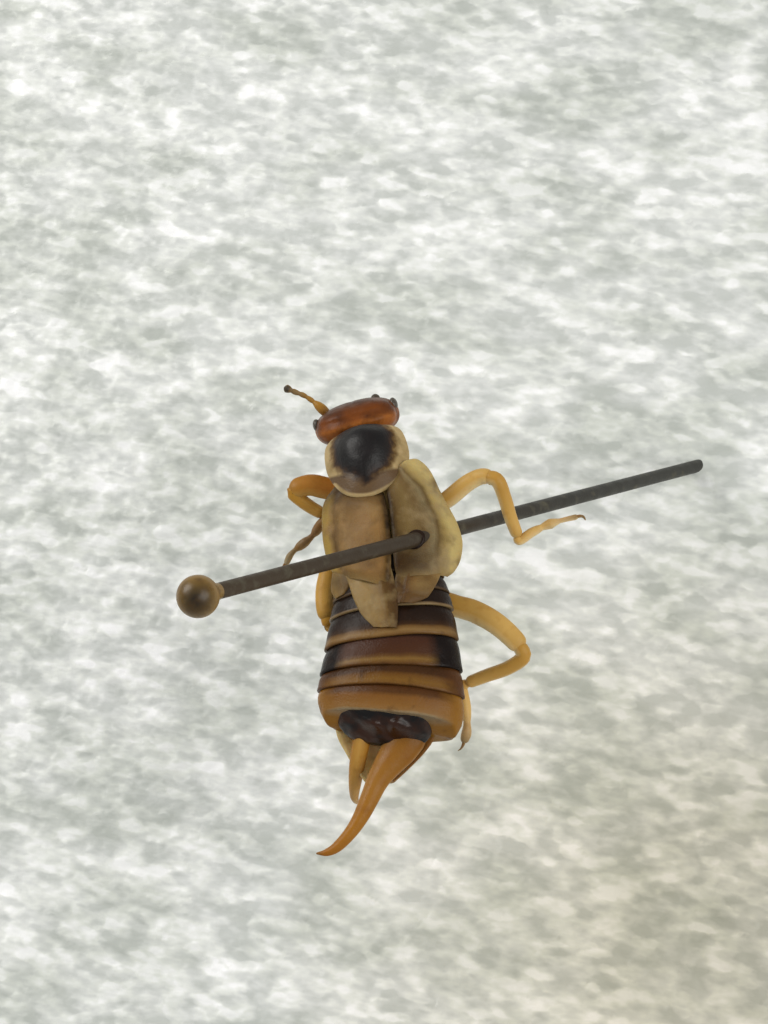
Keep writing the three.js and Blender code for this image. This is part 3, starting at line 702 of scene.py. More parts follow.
class EarwigSizes(bpy.types.PropertyGroup):
    """Sizes of the pin, the foam's cells and the limbs."""

    foam_relief: FloatProperty(
        name="Foam relief", description="How far cells stand out of the foam's face", default=0.00011, unit="LENGTH", precision=5
    )
    cell_length: FloatProperty(
        name="Cell length", description="Length of a foam cell along the sheet", default=0.0006, unit="LENGTH", precision=5
    )
    cell_width: FloatProperty(
        name="Cell width", description="Width of a foam cell across the sheet", default=0.00032, unit="LENGTH", precision=5
    )
    grain_heading: FloatProperty(
        name="Grain heading", description="Direction in which the foam was drawn", default=math.radians(-17), subtype="ANGLE"
    )
    wire: FloatProperty(
        name="Pin diameter", description="Diameter of the pin's wire", default=0.00045, unit="LENGTH", precision=5
    )
    ball: FloatProperty(
        name="Ball diameter", description="Diameter of the pin's ball", default=0.00116, unit="LENGTH", precision=5
    )
    wing: FloatProperty(
        name="Wing cover thickness", description="Thickness of a wing cover", default=0.0001, unit="LENGTH", precision=5
    )
    femur: FloatProperty(
        name="Thigh width", description="Greatest width of a thigh", default=0.00056, unit="LENGTH", precision=5
    )
    tibia: FloatProperty(
        name="Shin width", description="Greatest width of a shin", default=0.00042, unit="LENGTH", precision=5
    )
    tarsus: FloatProperty(
        name="Foot width", description="Width of a foot's first joint", default=0.00025, unit="LENGTH", precision=5
    )


def swatch(name, description, code):
    """A colour setting."""
    return FloatVectorProperty(
        name=name, description=description, subtype="COLOR", size=3, min=0, max=1, default=tint(code)[:3]
    )


class EarwigColours(bpy.types.PropertyGroup):
    """Colours of the finishes."""

    foam: swatch("Foam", "White of the foam", "#eceee9")
    wire: swatch("Wire", "Black enamel on the pin", "#2f2d27")
    nylon: swatch("Ball", "Amber of the pin's ball", "#705626")
    head: swatch("Head", "Chestnut of the head", "#7c4318")
    straw: swatch("Shield margin", "Horn colour of the shield's margin", "#b89f70")
    black: swatch("Last plate", "Black of the plate over the forceps", "#0c0807")
    floor: swatch("Floor", "Pale floor under the foam", "#dcdcd8")


# Pieces


class EarwigOperator(bpy.types.Operator):
    """Shared by the operators that make pieces."""

    bl_idname = "earwig.base"
    bl_label = "Earwig piece"
    bl_options = {"UNDO"}

    def build(self, sizes, colours):
        """Makes the pieces."""

    def execute(self, context):
        self.build(context.scene.earwig_sizes, context.scene.earwig_colours)
        return {"FINISHED"}


class EARWIG_OT_foam(EarwigOperator):
    """Makes the foam block with its relief of flattened cells"""

    bl_idname = "earwig.foam"
    bl_label = "Foam block"

    def build(self, sizes, colours):
        low, high = (np.array(v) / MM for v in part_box("stand_base"))
        edge, step = 0.35, 0.11
        xs = np.linspace(low[0] + edge, high[0] - edge, round((high[0] - low[0]) / step))
        ys = np.linspace(low[1] + edge, high[1] - edge, round((high[1] - low[1]) / step))
        turn = Matrix.Rotation(-sizes.grain_heading, 3, "Z")
        squeeze = Vector((MM / sizes.cell_length, MM / sizes.cell_width, MM / sizes.cell_width))
        hole = Vector((10.11, -1.72))

        def relief(x, y, z):
            place = (turn @ Vector((x, y, z))) * squeeze
            place += 0.35 * noise.noise_vector(place * 0.45)
            near, cells = noise.voronoi(place)
            tilt = noise.cell_vector(cells[0] * 7.3) - Vector((0.5, 0.5, 0.5))
            dome = min(near[1] - near[0], 0.5) / 0.5
            lean = (place - cells[0]).dot(tilt)
            swelling = noise.noise(Vector((x, y, z)) * 0.35)
            height = 0.5 * dome**0.7 + 0.5 * lean + 0.35 * tilt.x + 0.5 * swelling
            return height * sizes.foam_relief / MM

        faces, corners = [], []
        for y in ys:
            for x in xs:
                gap = (Vector((x, y)) - hole).length
                rim = 0.13 * math.exp(-((gap / 0.45) ** 2))
                corners.append((x, y, high[2] - 0.11 + relief(x, y, high[2]) + rim))
        nx, ny = len(xs), len(ys)
        for j in range(ny - 1):
            for i in range(nx - 1):
                a = j * nx + i
                faces.append((a, a + 1, a + nx + 1, a + nx))
        border = [*range(nx), *range(2 * nx - 1, ny * nx, nx), *range(ny * nx - 2, (ny - 1) * nx - 1, -1)]
        border += [*range((ny - 2) * nx, 0, -nx)]
        above = border
        centre = (low + high) / 2
        profile = [(0.2, 0.06), (0.31, 0.16), (0.35, 0.35)] + [(0.35, 0.35 + 0.415 * k) for k in range(1, 20)]
        profile += [(0.35, high[2] - 0.35), (0.31, high[2] - 0.16), (0.2, high[2])]
        for out, down in profile:
            ring = []
            for number in border:
                x, y, _ = corners[number]
                dx = math.copysign(1, x - centre[0]) if abs(abs(x - centre[0]) - (xs[-1] - centre[0])) < 1e-6 else 0
                dy = math.copysign(1, y - centre[1]) if abs(abs(y - centre[1]) - (ys[-1] - centre[1])) < 1e-6 else 0
                z = high[2] - down
                inner = 0 if down > high[2] - 0.3 else -0.09 + relief(x + 3 * dx, y + 3 * dy, 2 * z)
                reach = (out + inner) / (math.sqrt(2) if dx and dy else 1)
                ring.append(len(corners))
                corners.append((x + dx * reach, y + dy * reach, max(z, 0)))
            for k in range(len(ring)):
                n = (k + 1) % len(ring)
                faces.append((above[k], above[n], ring[n], ring[k]))
            above = ring
        faces.append(tuple(above))
        mesh = bpy.data.meshes.new("stand_foam")
        mesh.from_pydata([tuple(c * MM for c in corner) for corner in corners], [], faces)
        mesh.shade_smooth()
        block = bpy.data.objects.new("stand_foam", mesh)
        bpy.context.scene.collection.objects.link(block)
        shell = bmesh.new()
        shell.from_mesh(mesh)
        bmesh.ops.recalc_face_normals(shell, faces=shell.faces)
        shell.to_mesh(mesh)
        shell.free()
        settle(block, blown_foam(colours, sizes), "white_foam", "stand_base")


# The pin's direction, up along it towards the ball, and where its ball and point lie
PIN_LEAN, PIN_HEADING = math.radians(37.1), math.radians(-140.9)
PIN_WAY = np.array((
    math.sin(PIN_LEAN) * math.cos(PIN_HEADING),
    math.sin(PIN_LEAN) * math.sin(PIN_HEADING),
    math.cos(PIN_LEAN),
))
ENTRY = np.array((0.0, 0.0, 1.0))
BALL = ENTRY + 10.36 * PIN_WAY
TIP = BALL - 38.0 * PIN_WAY
PIN_SIDE = unit(np.cross(PIN_WAY, (0, 0, 1)))
PIN_OVER = np.cross(PIN_SIDE, PIN_WAY)


def turned(profile, centre, sides=48):
    """Rings of a shape turned about the pin; its profile is pairs of place along the pin and radius."""
    angle = np.linspace(0, 2 * math.pi, sides, endpoint=False)
    spoke = np.cos(angle)[:, None] * PIN_SIDE + np.sin(angle)[:, None] * PIN_OVER
    return np.array([centre + PIN_WAY * at + spoke * radius for at, radius in profile])


class EARWIG_OT_pin(EarwigOperator):
    """Makes the pin's wire and its moulded ball"""

    bl_idname = "earwig.pin"
    bl_label = "Pin"

    def build(self, sizes, colours):
        radius = sizes.wire / MM / 2
        point = [(0.0, 0.02), (0.8, 0.1), (1.6, 0.17), (2.1, 0.21), (2.6, radius)]
        shaft = point + [(at, radius) for at in np.linspace(3.2, 37.5, 60)]
        wire = skin("pin_wire", turned(shaft, TIP, 28))
        settle(wire, enamelled_wire(colours), "black_steel", "pin_shaft")
        ball = sizes.ball / MM / 2
        # Moulding leaves a short collar down the wire, and a dimple on top
        profile = [(-ball - 0.26, radius * 1.02), (-ball - 0.12, radius * 1.12), (-ball * 0.98, radius * 1.35)]
        for turn in np.linspace(0.62, math.pi - 0.06, 30):
            profile.append((-ball * math.cos(turn), ball * math.sin(turn)))
        profile[-1] = (ball * 0.975, ball * 0.05)
        drop = skin("pin_ball", turned(profile, BALL, 48))
        settle(drop, moulded_nylon(colours), "nylon_ball", "pin_head")


class EARWIG_OT_head(EarwigOperator):
    """Makes the head capsule and the two eyes"""

    bl_idname = "earwig.head"
    bl_label = "Head and eyes"

    def build(self, sizes, colours):
        right, down, crown = globe(84, 72, 0.86)
        rear = ease(0.1, -0.55, down)
        front = ease(0.0, 1.0, down)
        top = ease(0.25, 0.7, crown)
        # Ridge and groove across the rear of the head, and a shallow bay in its middle
        down = down - rear * (0.05 * swell(crown, -0.12, 0.16) - 0.035 * swell(crown, 0.28, 0.12))
        down = down + rear * 0.05 * swell(right, 0.05, 0.3)
        # Forked seam over the crown
        stem = swell(right, 0, 0.03) * ease(0.15, -0.05, down)
        fork = swell(np.abs(right) - 0.75 * np.maximum(down, 0), 0, 0.03) * ease(-0.05, 0.1, down) * ease(0.75, 0.6, down)
        crown = crown - top * 0.05 * np.maximum(stem, fork)
        # Cheeks bulge behind the eyes, and the face narrows
        right = right * (1 - 0.24 * front) * (1 - 0.05 * swell(down, -0.25, 0.2))
        crown = crown * (1 - 0.25 * front)
        places = on_head(right * 1.36, down * 1.15, crown * 0.66)
        marks = np.stack([crown * 0.5 + 0.5, down * 0.5 + 0.5], axis=2)
        capsule = skin("head_capsule", places, marks)
        settle(capsule, chestnut_cuticle(colours), "chestnut_cuticle", "head")
        black = compound_eye()
        for name, sign in (("left", -1), ("right", 1)):
            right, down, crown = globe(26, 32)
            places = on_head(sign * 1.24 + right * 0.13, down * 0.22, 0.22 + crown * 0.21)
            settle(skin(f"compound_eye_{name}", places), black, "eye_cuticle", f"eye_{name}")


class EARWIG_OT_mouth(EarwigOperator):
    """Makes the lip, the jaws and the feelers of the mouth"""

    bl_idname = "earwig.mouth"
    bl_label = "Mouthparts"

    def build(self, sizes, colours):
        tan = amber_cuticle(
            "tanned mouth cuticle", [(0.0, "#8a5420"), (0.6, "#9a6a2c"), (1.0, "#6a3a14")], "#a87c40"
        )
        face = [on_head(0, 0.78, 0.22), on_head(0, 1.05, 0.2), on_head(0, 1.3, 0.12)]
        lip = rod(face, [0.95, 1.0, 0.85, 0.6], [0.3, 0.28, 0.2, 0.12], up=HEAD_CROWN, sides=28)
        settle(skin("upper_lip", lip), tan, "chestnut_cuticle", "mouthparts")
        under = [on_head(0, 0.7, -0.25), on_head(0, 1.05, -0.28), on_head(0, 1.35, -0.2)]
        chin = rod(under, [0.7, 0.75, 0.6, 0.35], [0.32, 0.3, 0.22, 0.14], up=HEAD_CROWN, sides=28)
        settle(skin("lower_lip", chin), tan, "chestnut_cuticle")
        for name, sign in (("left", -1), ("right", 1)):
            jaw = rod(
                [on_head(sign * x, y, z) for x, y, z in ((0.5, 0.75, 0), (0.56, 1.1, 0), (0.4, 1.4, 0), (0.06, 1.54, 0))],
                [0.4, 0.42, 0.34, 0.22, 0.08], [0.3, 0.3, 0.24, 0.16, 0.08], up=HEAD_CROWN,
            )
            settle(skin(f"jaw_{name}", jaw), tan, "chestnut_cuticle")
            feeler = rod(
                [on_head(sign * x, y, z) for x, y, z in ((0.5, 0.9, -0.3), (0.78, 1.15, -0.32), (0.8, 1.5, -0.3), (0.6, 1.72, -0.28))],
                [0.12, 0.15, 0.1, 0.16, 0.1, 0.15, 0.1, 0.13, 0.06], sides=14, rings=34, up=HEAD_CROWN,
            )
            settle(skin(f"mouth_feeler_{name}", feeler), tan, "chestnut_cuticle")


class EARWIG_OT_antennae(EarwigOperator):
    """Makes what is left of the two antennae"""

    bl_idname = "earwig.antennae"
    bl_label = "Antennae"

    def build(self, sizes, colours):
        horn = amber_cuticle(
            "amber antenna cuticle",
            [(0.0, "#8a5a22"), (0.35, "#a2762e"), (0.62, "#947038"), (0.7, "#8a7048"), (0.9, "#7a6444"), (0.93, "#4c4334"), (1.0, "#40392e")],
            "#b08e50", blot="#6a4a20",
        )
        route = [on_head(-0.78, 0.5, 0.3), (-2.87, 5.34, -0.95), (-3.14, 5.62, -0.88), (-3.42, 5.84, -0.8), (-3.69, 5.96, -0.7), (-4.02, 6.1, -0.55)]
        widths = [0.2, 0.22, 0.25, 0.29, 0.31, 0.32, 0.3, 0.27, 0.2, 0.13, 0.17, 0.16, 0.12, 0.16, 0.17, 0.13, 0.17, 0.18, 0.14, 0.23, 0.27, 0.22]
        left = skin("antenna_joints_left", rod(route, widths, rings=90))
        settle(left, horn, "amber_cuticle", "antenna_left")
        stub = rod([on_head(0.7, 0.42, 0.3), on_head(0.72, 0.4, 0.5), on_head(0.73, 0.4, 0.68)], [0.22, 0.3, 0.3, 0.28, 0.24], up=HEAD_DOWN)
        dark = amber_cuticle("dried antenna stump cuticle", [(0.0, "#6a4620"), (0.7, "#54483a"), (1.0, "#4a443a")], "#6a6252")
        settle(skin("antenna_stump_right", stub), dark, "amber_cuticle", "antenna_right")


class EARWIG_OT_thorax(EarwigOperator):
    """Makes the neck and the chest under the shield and the wings"""

    bl_idname = "earwig.thorax"
    bl_label = "Neck and chest"

    def build(self, sizes, colours):
        pale = banded_cuticle(
            "soft chest cuticle", [(0.0, "#8f7440"), (0.5, "#9a7c44"), (1.0, "#7a5e34")], ("#7a5e34", 0.2, 0.3), "#94763e", 0.42
        )
        neck = rod(
            [(-1.82, 4.5, -0.62), (-1.66, 4.1, -0.46), (-1.42, 3.4, -0.32), (-1.28, 2.7, -0.34), (-1.15, 1.9, -0.3)],
            [1.1, 1.4, 1.8, 2.1, 2.12, 1.9], [0.8, 1.0, 1.3, 1.5, 1.52, 1.4], sides=48, rings=40,
        )
        settle(skin("neck_and_first_chest_ring", neck), pale, "amber_cuticle", "prothorax")
        angle = np.linspace(-math.pi, math.pi, 73)[:-1]
        rows = []
        for y in np.linspace(2.0, -0.42, 40):
            ring = trunk_ring(y, -0.05, angle)
            # Plates on the belly, with a groove between the middle and the hind one
            ring[:, 2] += 0.07 * swell(y, 0.75, 0.09) * ease(0.0, -0.6, np.cos(angle))
            rows.append(ring)
        chest = skin("chest_rings", np.array(rows))
        settle(chest, pale, "amber_cuticle", "thorax")


class EARWIG_OT_shield(EarwigOperator):
    """Makes the shield over the first chest ring"""

    bl_idname = "earwig.shield"
    bl_label = "Shield"

    def build(self, sizes, colours):
        rim = closed_curve(SHIELD_OUTLINE, 96)
        disc = closed_curve(DISC_OUTLINE, 120)
        heart = np.array((-1.38, 3.05, 0))
        reach = np.concatenate([np.linspace(0.02, 0.94, 40), [0.97, 1.0]])[:, None, None]
        top = heart + (rim - heart) * reach
        out = outside(top, disc)
        dome = 0.62 + 0.46 * (1 - ((top[..., 0] - heart[0]) / 1.4) ** 2)
        top[..., 2] = dome + (rim[None, :, 2] - dome) * reach[..., 0] ** 3
        # The disc stands proud, with a shallow groove round it
        top[..., 2] += 0.09 * ease(0.05, -0.5, out) - 0.02 * swell(out, 0.05, 0.12)
        top[..., 2] = np.minimum(top[..., 2], 1.2)
        low = top[::-1].copy()
        low[..., 2] -= 0.12 + 0.25 * (1 - reach[::-1, :, 0])
        # The margin is rolled, so that its edge is round
        roll = top[-1:].copy()
        roll[..., :2] += unit(rim - heart)[None, :, :2] * 0.05
        roll[..., 2] -= 0.06
        rows = np.concatenate([top, roll, low])
        share = np.concatenate([reach, [[[1.0]]], reach[::-1]])[..., 0] * ease(2.9, 2.2, rows[..., 1])
        flags = np.stack([outside(rows, disc) + 0.38, share], axis=2)
        settle(skin("shield", rows, flags), shield_cuticle(colours), "shield_cuticle", "pronotum")


class EARWIG_OT_covers(EarwigOperator):
    """Makes the two leathery wing covers and the collar of torn cuticle round the pin"""

    bl_idname = "earwig.covers"
    bl_label = "Wing covers"

    def build(self, sizes, colours):
        thick = sizes.wing / MM
        left, flags = panel(
            [(-2.5, 2.3, 0.42), (-2.74, 2.0, 0.3), (-2.9, 1.49, 0.22), (-2.93, 0.76, 0.18), (-2.88, 0.21, 0.18), (-2.76, -0.32, 0.24), (-2.5, -0.7, 0.38)],
            [(-0.94, 1.95, 0.86), (-0.88, 1.5, 0.95), (-0.82, 1.0, 0.99), (-0.79, 0.42, 1.0), (-0.79, -0.2, 1.0), (-0.83, -0.8, 1.0), (-0.92, -1.38, 0.98)],
            0.3, thick,
            lift=lambda u, v, p: 0.02 * swell(u, 0.95, 0.05) - 0.06 * swell(u, 0.18, 0.06) - 0.05 * swell(u, 0.55, 0.2) * swell(v, 0.35, 0.25)
            + 0.05 * swell(u, 0.4, 0.16) * swell(v, 0.7, 0.2) - 0.1 * ease(0.88, 1.0, v) - 0.3 * ease(0.26, 0.0, v),
        )
        hide = wing_cuticle(
            "leathery wing cover cuticle, left",
            [(0.0, "#9a7f40"), (0.1, "#a2853f"), (0.15, "#8a6c34"), (0.2, "#5e4520"), (0.3, "#735629"),
             (0.58, "#866538"), (0.85, "#8d6a3c"), (0.93, "#6a4c22"), (0.97, "#38270c"), (1.0, "#241808")],
            "#9b7a4b", "#634825", front=((0.08, 0.36), "#44311a"), rear=((0.9, 1.0), "#7a6239"),
        )
        settle(skin("wing_cover_left", left, flags, "strip"), hide, "wing_cover_cuticle", "tegmen_left")

        def strip_marks(u, v, _):
            border = np.interp(v, (0, 0.12, 0.3, 0.5, 0.75, 0.9, 1.0), (0.42, 0.5, 0.68, 0.7, 0.66, 0.68, 0.8))
            return np.stack([np.where(u < border, u / border * 0.68, 0.68 + (u - border) / (1 - border) * 0.32), v], axis=2)

        right, flags = panel(
            [(-0.6, 2.3, 0.62), (-0.78, 1.75, 0.86), (-0.72, 1.2, 0.97), (-0.68, 0.7, 1.0), (-0.66, 0.0, 1.0), (-0.66, -0.6, 1.0), (-0.62, -1.14, 0.97)],
            [(-0.12, 2.8, 0.46), (0.14, 2.82, 0.36), (0.42, 2.56, 0.26), (0.6, 2.2, 0.2), (0.74, 1.8, 0.12), (0.95, 1.3, 0.04), (1.16, 0.8, -0.02), (1.28, 0.3, -0.04), (1.28, -0.04, -0.04), (1.18, -0.48, 0.0), (1.0, -0.8, 0.08), (0.78, -0.98, 0.2)],
            0.3, thick,
            lift=lambda u, v, p: 0.02 * swell(u, 0.05, 0.05) + 0.05 * swell(u, 0.84, 0.2) * ease(0.0, 0.3, v) - 0.015 * swell(u, 0.62, 0.14)
            + 0.05 * swell(np.hypot(p[..., 0] - 0.12, p[..., 1] - 0.05), 0, 0.4) - 0.08 * ease(0.88, 1.0, v)
            - 0.3 * ease(0.24, 0.0, v) * (1 - u),
            seen=strip_marks,
        )
        hide = wing_cuticle(
            "leathery wing cover cuticle, right",
            [(0.0, "#221506"), (0.05, "#3c2a0e"), (0.12, "#604a26"), (0.3, "#766038"), (0.5, "#6a5432"),
             (0.62, "#80704f"), (0.69, "#66512e"), (0.77, "#a48c54"), (0.87, "#bfa96c"), (1.0, "#b9a166")],
            "#95805a", "#4e3a1b", rear=((0.92, 1.0), "#8a7248"), dark_spot=np.array((-0.42, -0.62, 0.95)),
        )
        settle(skin("wing_cover_right", right, flags, "strip"), hide, "wing_cover_cuticle", "tegmen_right")
        # Cuticle was pushed up in a ragged ring where the pin went in, drawn out the way that the pin leans
        lean = np.array((math.cos(PIN_HEADING), math.sin(PIN_HEADING), 0))
        beside = np.array((-lean[1], lean[0], 0))
        angle = np.linspace(0, 2 * math.pi, 41)[:-1]
        ragged = np.array([noise.noise(Vector((math.cos(a) * 1.6, math.sin(a) * 1.6, 4.0))) for a in angle])
        collar = []
        for turn in np.linspace(0, 2 * math.pi, 13):
            reach = 0.22 + 0.07 * math.cos(turn) + 0.01 * ragged
            place = ENTRY + (np.cos(angle) * reach * 1.15)[:, None] * lean + (np.sin(angle) * reach)[:, None] * beside
            place[:, 2] += 0.02 + 0.07 * math.sin(turn)
            collar.append(place)
        torn = banded_cuticle("torn dark cuticle", [(0.0, "#20140b"), (1.0, "#33200f")], ("#1c100a", 0.2, 0.3), "#1c100a")
        settle(skin("pin_collar", collar, ends=None), torn, "wing_cover_cuticle")


class EARWIG_OT_tips(EarwigOperator):
    """Makes the folded wing tips behind the covers"""

    bl_idname = "earwig.tips"
    bl_label = "Folded wing tips"

    def build(self, sizes, colours):
        thick = 0.6 * sizes.wing / MM
        left, flags = panel(
            [(-2.3, -0.5, 0.5), (-2.14, -1.0, 0.62), (-1.99, -1.55, 0.74), (-1.77, -2.09, 0.84), (-1.42, -2.56, 0.92)],
            [(-0.86, -0.6, 0.92), (-0.76, -1.1, 0.95), (-0.7, -1.5, 0.96), (-0.68, -2.0, 0.97), (-0.74, -2.66, 0.95)],
            0.08, thick, 30, 40,
            lift=lambda u, v, p: 0.04 * swell(u, 0.72, 0.09) - 0.03 * swell(u, 0.4, 0.15) + 0.015 * swell(u - 0.9 * v, 0, 0.1),
        )
        film = wing_cuticle(
            "folded wing membrane, left",
            [(0.0, "#8f7548"), (0.35, "#937849"), (0.6, "#7e6338"), (0.78, "#583f1e"), (1.0, "#452e13")],
            "#a18a5e", "#6a5230",
        )
        settle(skin("wing_tip_fold_left", left, flags, "strip"), film, "folded_wing_membrane", "wing_tip_left")
        right, flags = panel(
            [(-0.56, -0.8, 0.9), (-0.68, -1.14, 0.94), (-0.69, -1.5, 0.94), (-0.71, -1.9, 0.92)],
            [(0.72, -0.7, 0.34), (0.6, -1.0, 0.46), (0.45, -1.34, 0.58), (0.19, -1.74, 0.74), (-0.19, -1.94, 0.86)],
            0.12, thick, 30, 40,
            lift=lambda u, v, p: 0.05 * swell(u, 0.3, 0.04) - 0.03 * swell(v, 0.7, 0.06),
        )
        film = wing_cuticle(
            "folded wing membrane, right",
            [(0.0, "#241204"), (0.26, "#341c08"), (0.38, "#6c4c26"), (0.6, "#8a6b3c"), (0.8, "#8a6b3c"), (1.0, "#7a5e34")],
            "#947848", "#5a3e1a", rear=((0.3, 0.75), "#5a4022"),
        )
        settle(skin("wing_tip_fold_right", right, flags, "strip"), film, "folded_wing_membrane", "wing_tip_right")
        lobe, flags = panel(
            [(-2.66, -0.4, 0.26), (-2.74, -0.85, 0.24), (-2.74, -1.1, 0.24), (-2.62, -1.34, 0.3)],
            [(-2.1, -0.5, 0.55), (-2.1, -0.8, 0.58), (-2.14, -1.05, 0.58), (-2.34, -1.3, 0.5)],
            0.05, thick, 16, 20,
        )
        film = wing_cuticle(
            "folded wing membrane, side lobe", [(0.0, "#7c6234"), (0.5, "#73582e"), (1.0, "#5e4624")], "#8a7044", "#54401f"
        )
        settle(skin("wing_side_lobe", lobe, flags, "strip"), film, "folded_wing_membrane")


# Rear edge of each ring of the hind body, and its bands from front to rear
RINGS = [
    (-0.3, -0.85, [(0.0, "#1d110a"), (0.8, "#22150c"), (1.0, "#4a3820")]),
    (-0.85, -1.36, [(0.0, "#1d110a"), (0.8, "#22150c"), (1.0, "#5a4630")]),
    (-1.36, -1.93, [(0.0, "#1d110a"), (0.84, "#22150c"), (0.92, "#725c40"), (1.0, "#8a7450")]),
    (-1.93, -2.85, [(0.0, "#1c1009"), (0.5, "#25160b"), (0.66, "#3a2410"), (0.74, "#6a4c26"), (0.86, "#82643a"), (1.0, "#6a4a24")]),
    (-2.85, -3.72, [(0.0, "#2a1912"), (0.1, "#422619"), (0.58, "#482a17"), (0.7, "#5e3f1d"), (0.8, "#7b5b2b"), (0.92, "#664620"), (1.0, "#4c2f12")]),
    (-3.72, -4.36, [(0.0, "#3a220d"), (0.36, "#42270f"), (0.52, "#664319"), (0.75, "#76521f"), (0.92, "#6f4c1f"), (1.0, "#523314")]),
    (-4.36, -5.12, [(0.0, "#4a2a11"), (0.26, "#523214"), (0.42, "#784f22"), (0.75, "#825a2a"), (0.92, "#866236"), (1.0, "#978262")]),
]
FLANKS = [
    ("#1d110a", 0.2, 0.3), ("#1d110a", 0.2, 0.3), ("#1d110a", 0.2, 0.3), ("#26170c", 0.18, 0.3),
    ("#140b07", 0.1, 0.135), ("#523012", 0.13, 0.2), ("#8c6020", 0.12, 0.2),
]


class EARWIG_OT_hind_body(EarwigOperator):
    """Makes the seven rings of the hind body, each one tucked under the one before"""

    bl_idname = "earwig.hind_body"
    bl_label = "Hind body"

    def build(self, sizes, colours):
        angle = np.linspace(-math.pi, math.pi, 121)[:-1]
        # Places along a ring, how far each stands proud, and the share of the ring's colour bands there
        profile = [(-0.24, -0.12, 0.0), (-0.1, -0.08, 0.0), (0.0, -0.05, 0.0), (0.12, -0.015, 0.12), (0.3, 0.012, 0.3)]
        profile += [(0.5, 0.02, 0.5), (0.7, 0.02, 0.7), (0.84, 0.03, 0.84), (0.93, 0.038, 0.93), (0.975, 0.03, 0.975)]
        profile += [(1.0, 0.0, 1.0), (1.0, -0.06, 1.0), (0.97, -0.16, 1.0)]
        for number, ((front, rear, bands), flank) in enumerate(zip(RINGS, FLANKS), 1):
            rows, flags = [], []
            for share, proud, mark in profile:
                y = front + (rear - front) * share
                ring = trunk_ring(y, proud, angle)
                waver = [noise.noise(Vector((math.sin(a) * 1.6, math.cos(a) * 1.6, number * 3.1))) for a in angle]
                ring[:, 1] += 0.05 * np.array(waver)
                if number == 7:
                    # The last ring reaches further back low down, and closes in round the forceps' hinges
                    low = ease(0.35, -0.4, ring[:, 2]) * ease(0.3, 1.0, share)
                    ring[:, 1] -= 0.36 * low
                    ring[:, 0] += 0.2 * low * np.sign(-1.25 - ring[:, 0]) * ease(0.5, 1.0, share)
                rows.append(skewed(ring))
                flags.append(np.stack([np.linspace(0, 1, 121), np.full(121, mark)], axis=1))
            belly = "#6a4a22" if number < 5 else "#8f6626"
            finish = banded_cuticle(f"banded ring cuticle {number}", bands, flank, belly)
            ring = skin(f"hind_body_ring_{number}", np.array(rows), np.array(flags))
            settle(ring, finish, "banded_cuticle", f"abdomen_{number}")


class EARWIG_OT_last_plate(EarwigOperator):
    """Makes the black last plate and the pale plate under the forceps"""

    bl_idname = "earwig.last_plate"
    bl_label = "Last plates"

    def build(self, sizes, colours):
        angle = np.linspace(-math.pi, math.pi, 121)[:-1]
        rows = []
        places = np.array([
            # y, middle x, middle z, half width, half depth
            (-4.9, -1.4, -0.08, 1.52, 0.74), (-5.1, -1.42, -0.12, 1.48, 0.72), (-5.3, -1.44, -0.2, 1.42, 0.64),
            (-5.48, -1.45, -0.29, 1.34, 0.52), (-5.62, -1.46, -0.37, 1.22, 0.4), (-5.74, -1.47, -0.43, 1.06, 0.3),
            (-5.82, -1.48, -0.47, 0.84, 0.2), (-5.86, -1.48, -0.48, 0.5, 0.1),
        ])
        for y, x, z, wide, deep in np.stack([np.interp(np.linspace(0, 7, 44), range(8), column) for column in places.T], axis=1):
            ring = np.stack([x + np.sin(angle) * wide, np.full_like(angle, y), z + np.cos(angle) * deep], axis=1)
            upper = ease(-0.1, 0.4, np.cos(angle))
            # Two knobs over the hinges with a notch between them, and crumpled cuticle round them
            knobs = swell(ring[:, 0], -1.6, 0.22) + 0.9 * swell(ring[:, 0], -1.04, 0.24) - 0.4 * swell(ring[:, 0], -1.33, 0.12)
            ring[:, 2] += upper * 0.16 * knobs * swell(y, -5.46, 0.16)
            crumple = [noise.noise(Vector((px * 3.1, y * 4.2, 1.7))) for px in ring[:, 0]]
            ring[:, 2] += upper * 0.1 * np.array(crumple)
            rows.append(skewed(ring))
        plate = skin("last_back_plate", np.array(rows))
        settle(plate, black_cuticle(colours), "black_cuticle", "last_tergite")
        trough, flags = panel(
            [(-2.95, -5.0, -0.62), (-2.88, -5.4, -0.72), (-2.7, -5.8, -0.86), (-2.5, -6.2, -1.0), (-2.16, -6.7, -1.12)],
            [(-0.1, -5.4, -0.55), (-0.12, -5.72, -0.6), (-0.4, -6.02, -0.72), (-0.86, -6.36, -0.86), (-1.42, -6.72, -1.04)],
            -0.3, 0.09, 30, 36,
        )
        pale = wing_cuticle(
            "pale belly plate cuticle",
            [(0.0, "#c9b47c"), (0.25, "#d8bc70"), (0.5, "#fbe6a6"), (0.66, "#a87c38"), (1.0, "#83592a")],
            "#e0c88a", "#a07c3c",
        )
        settle(skin("last_belly_plate", trough, flags, "strip"), pale, "amber_cuticle")


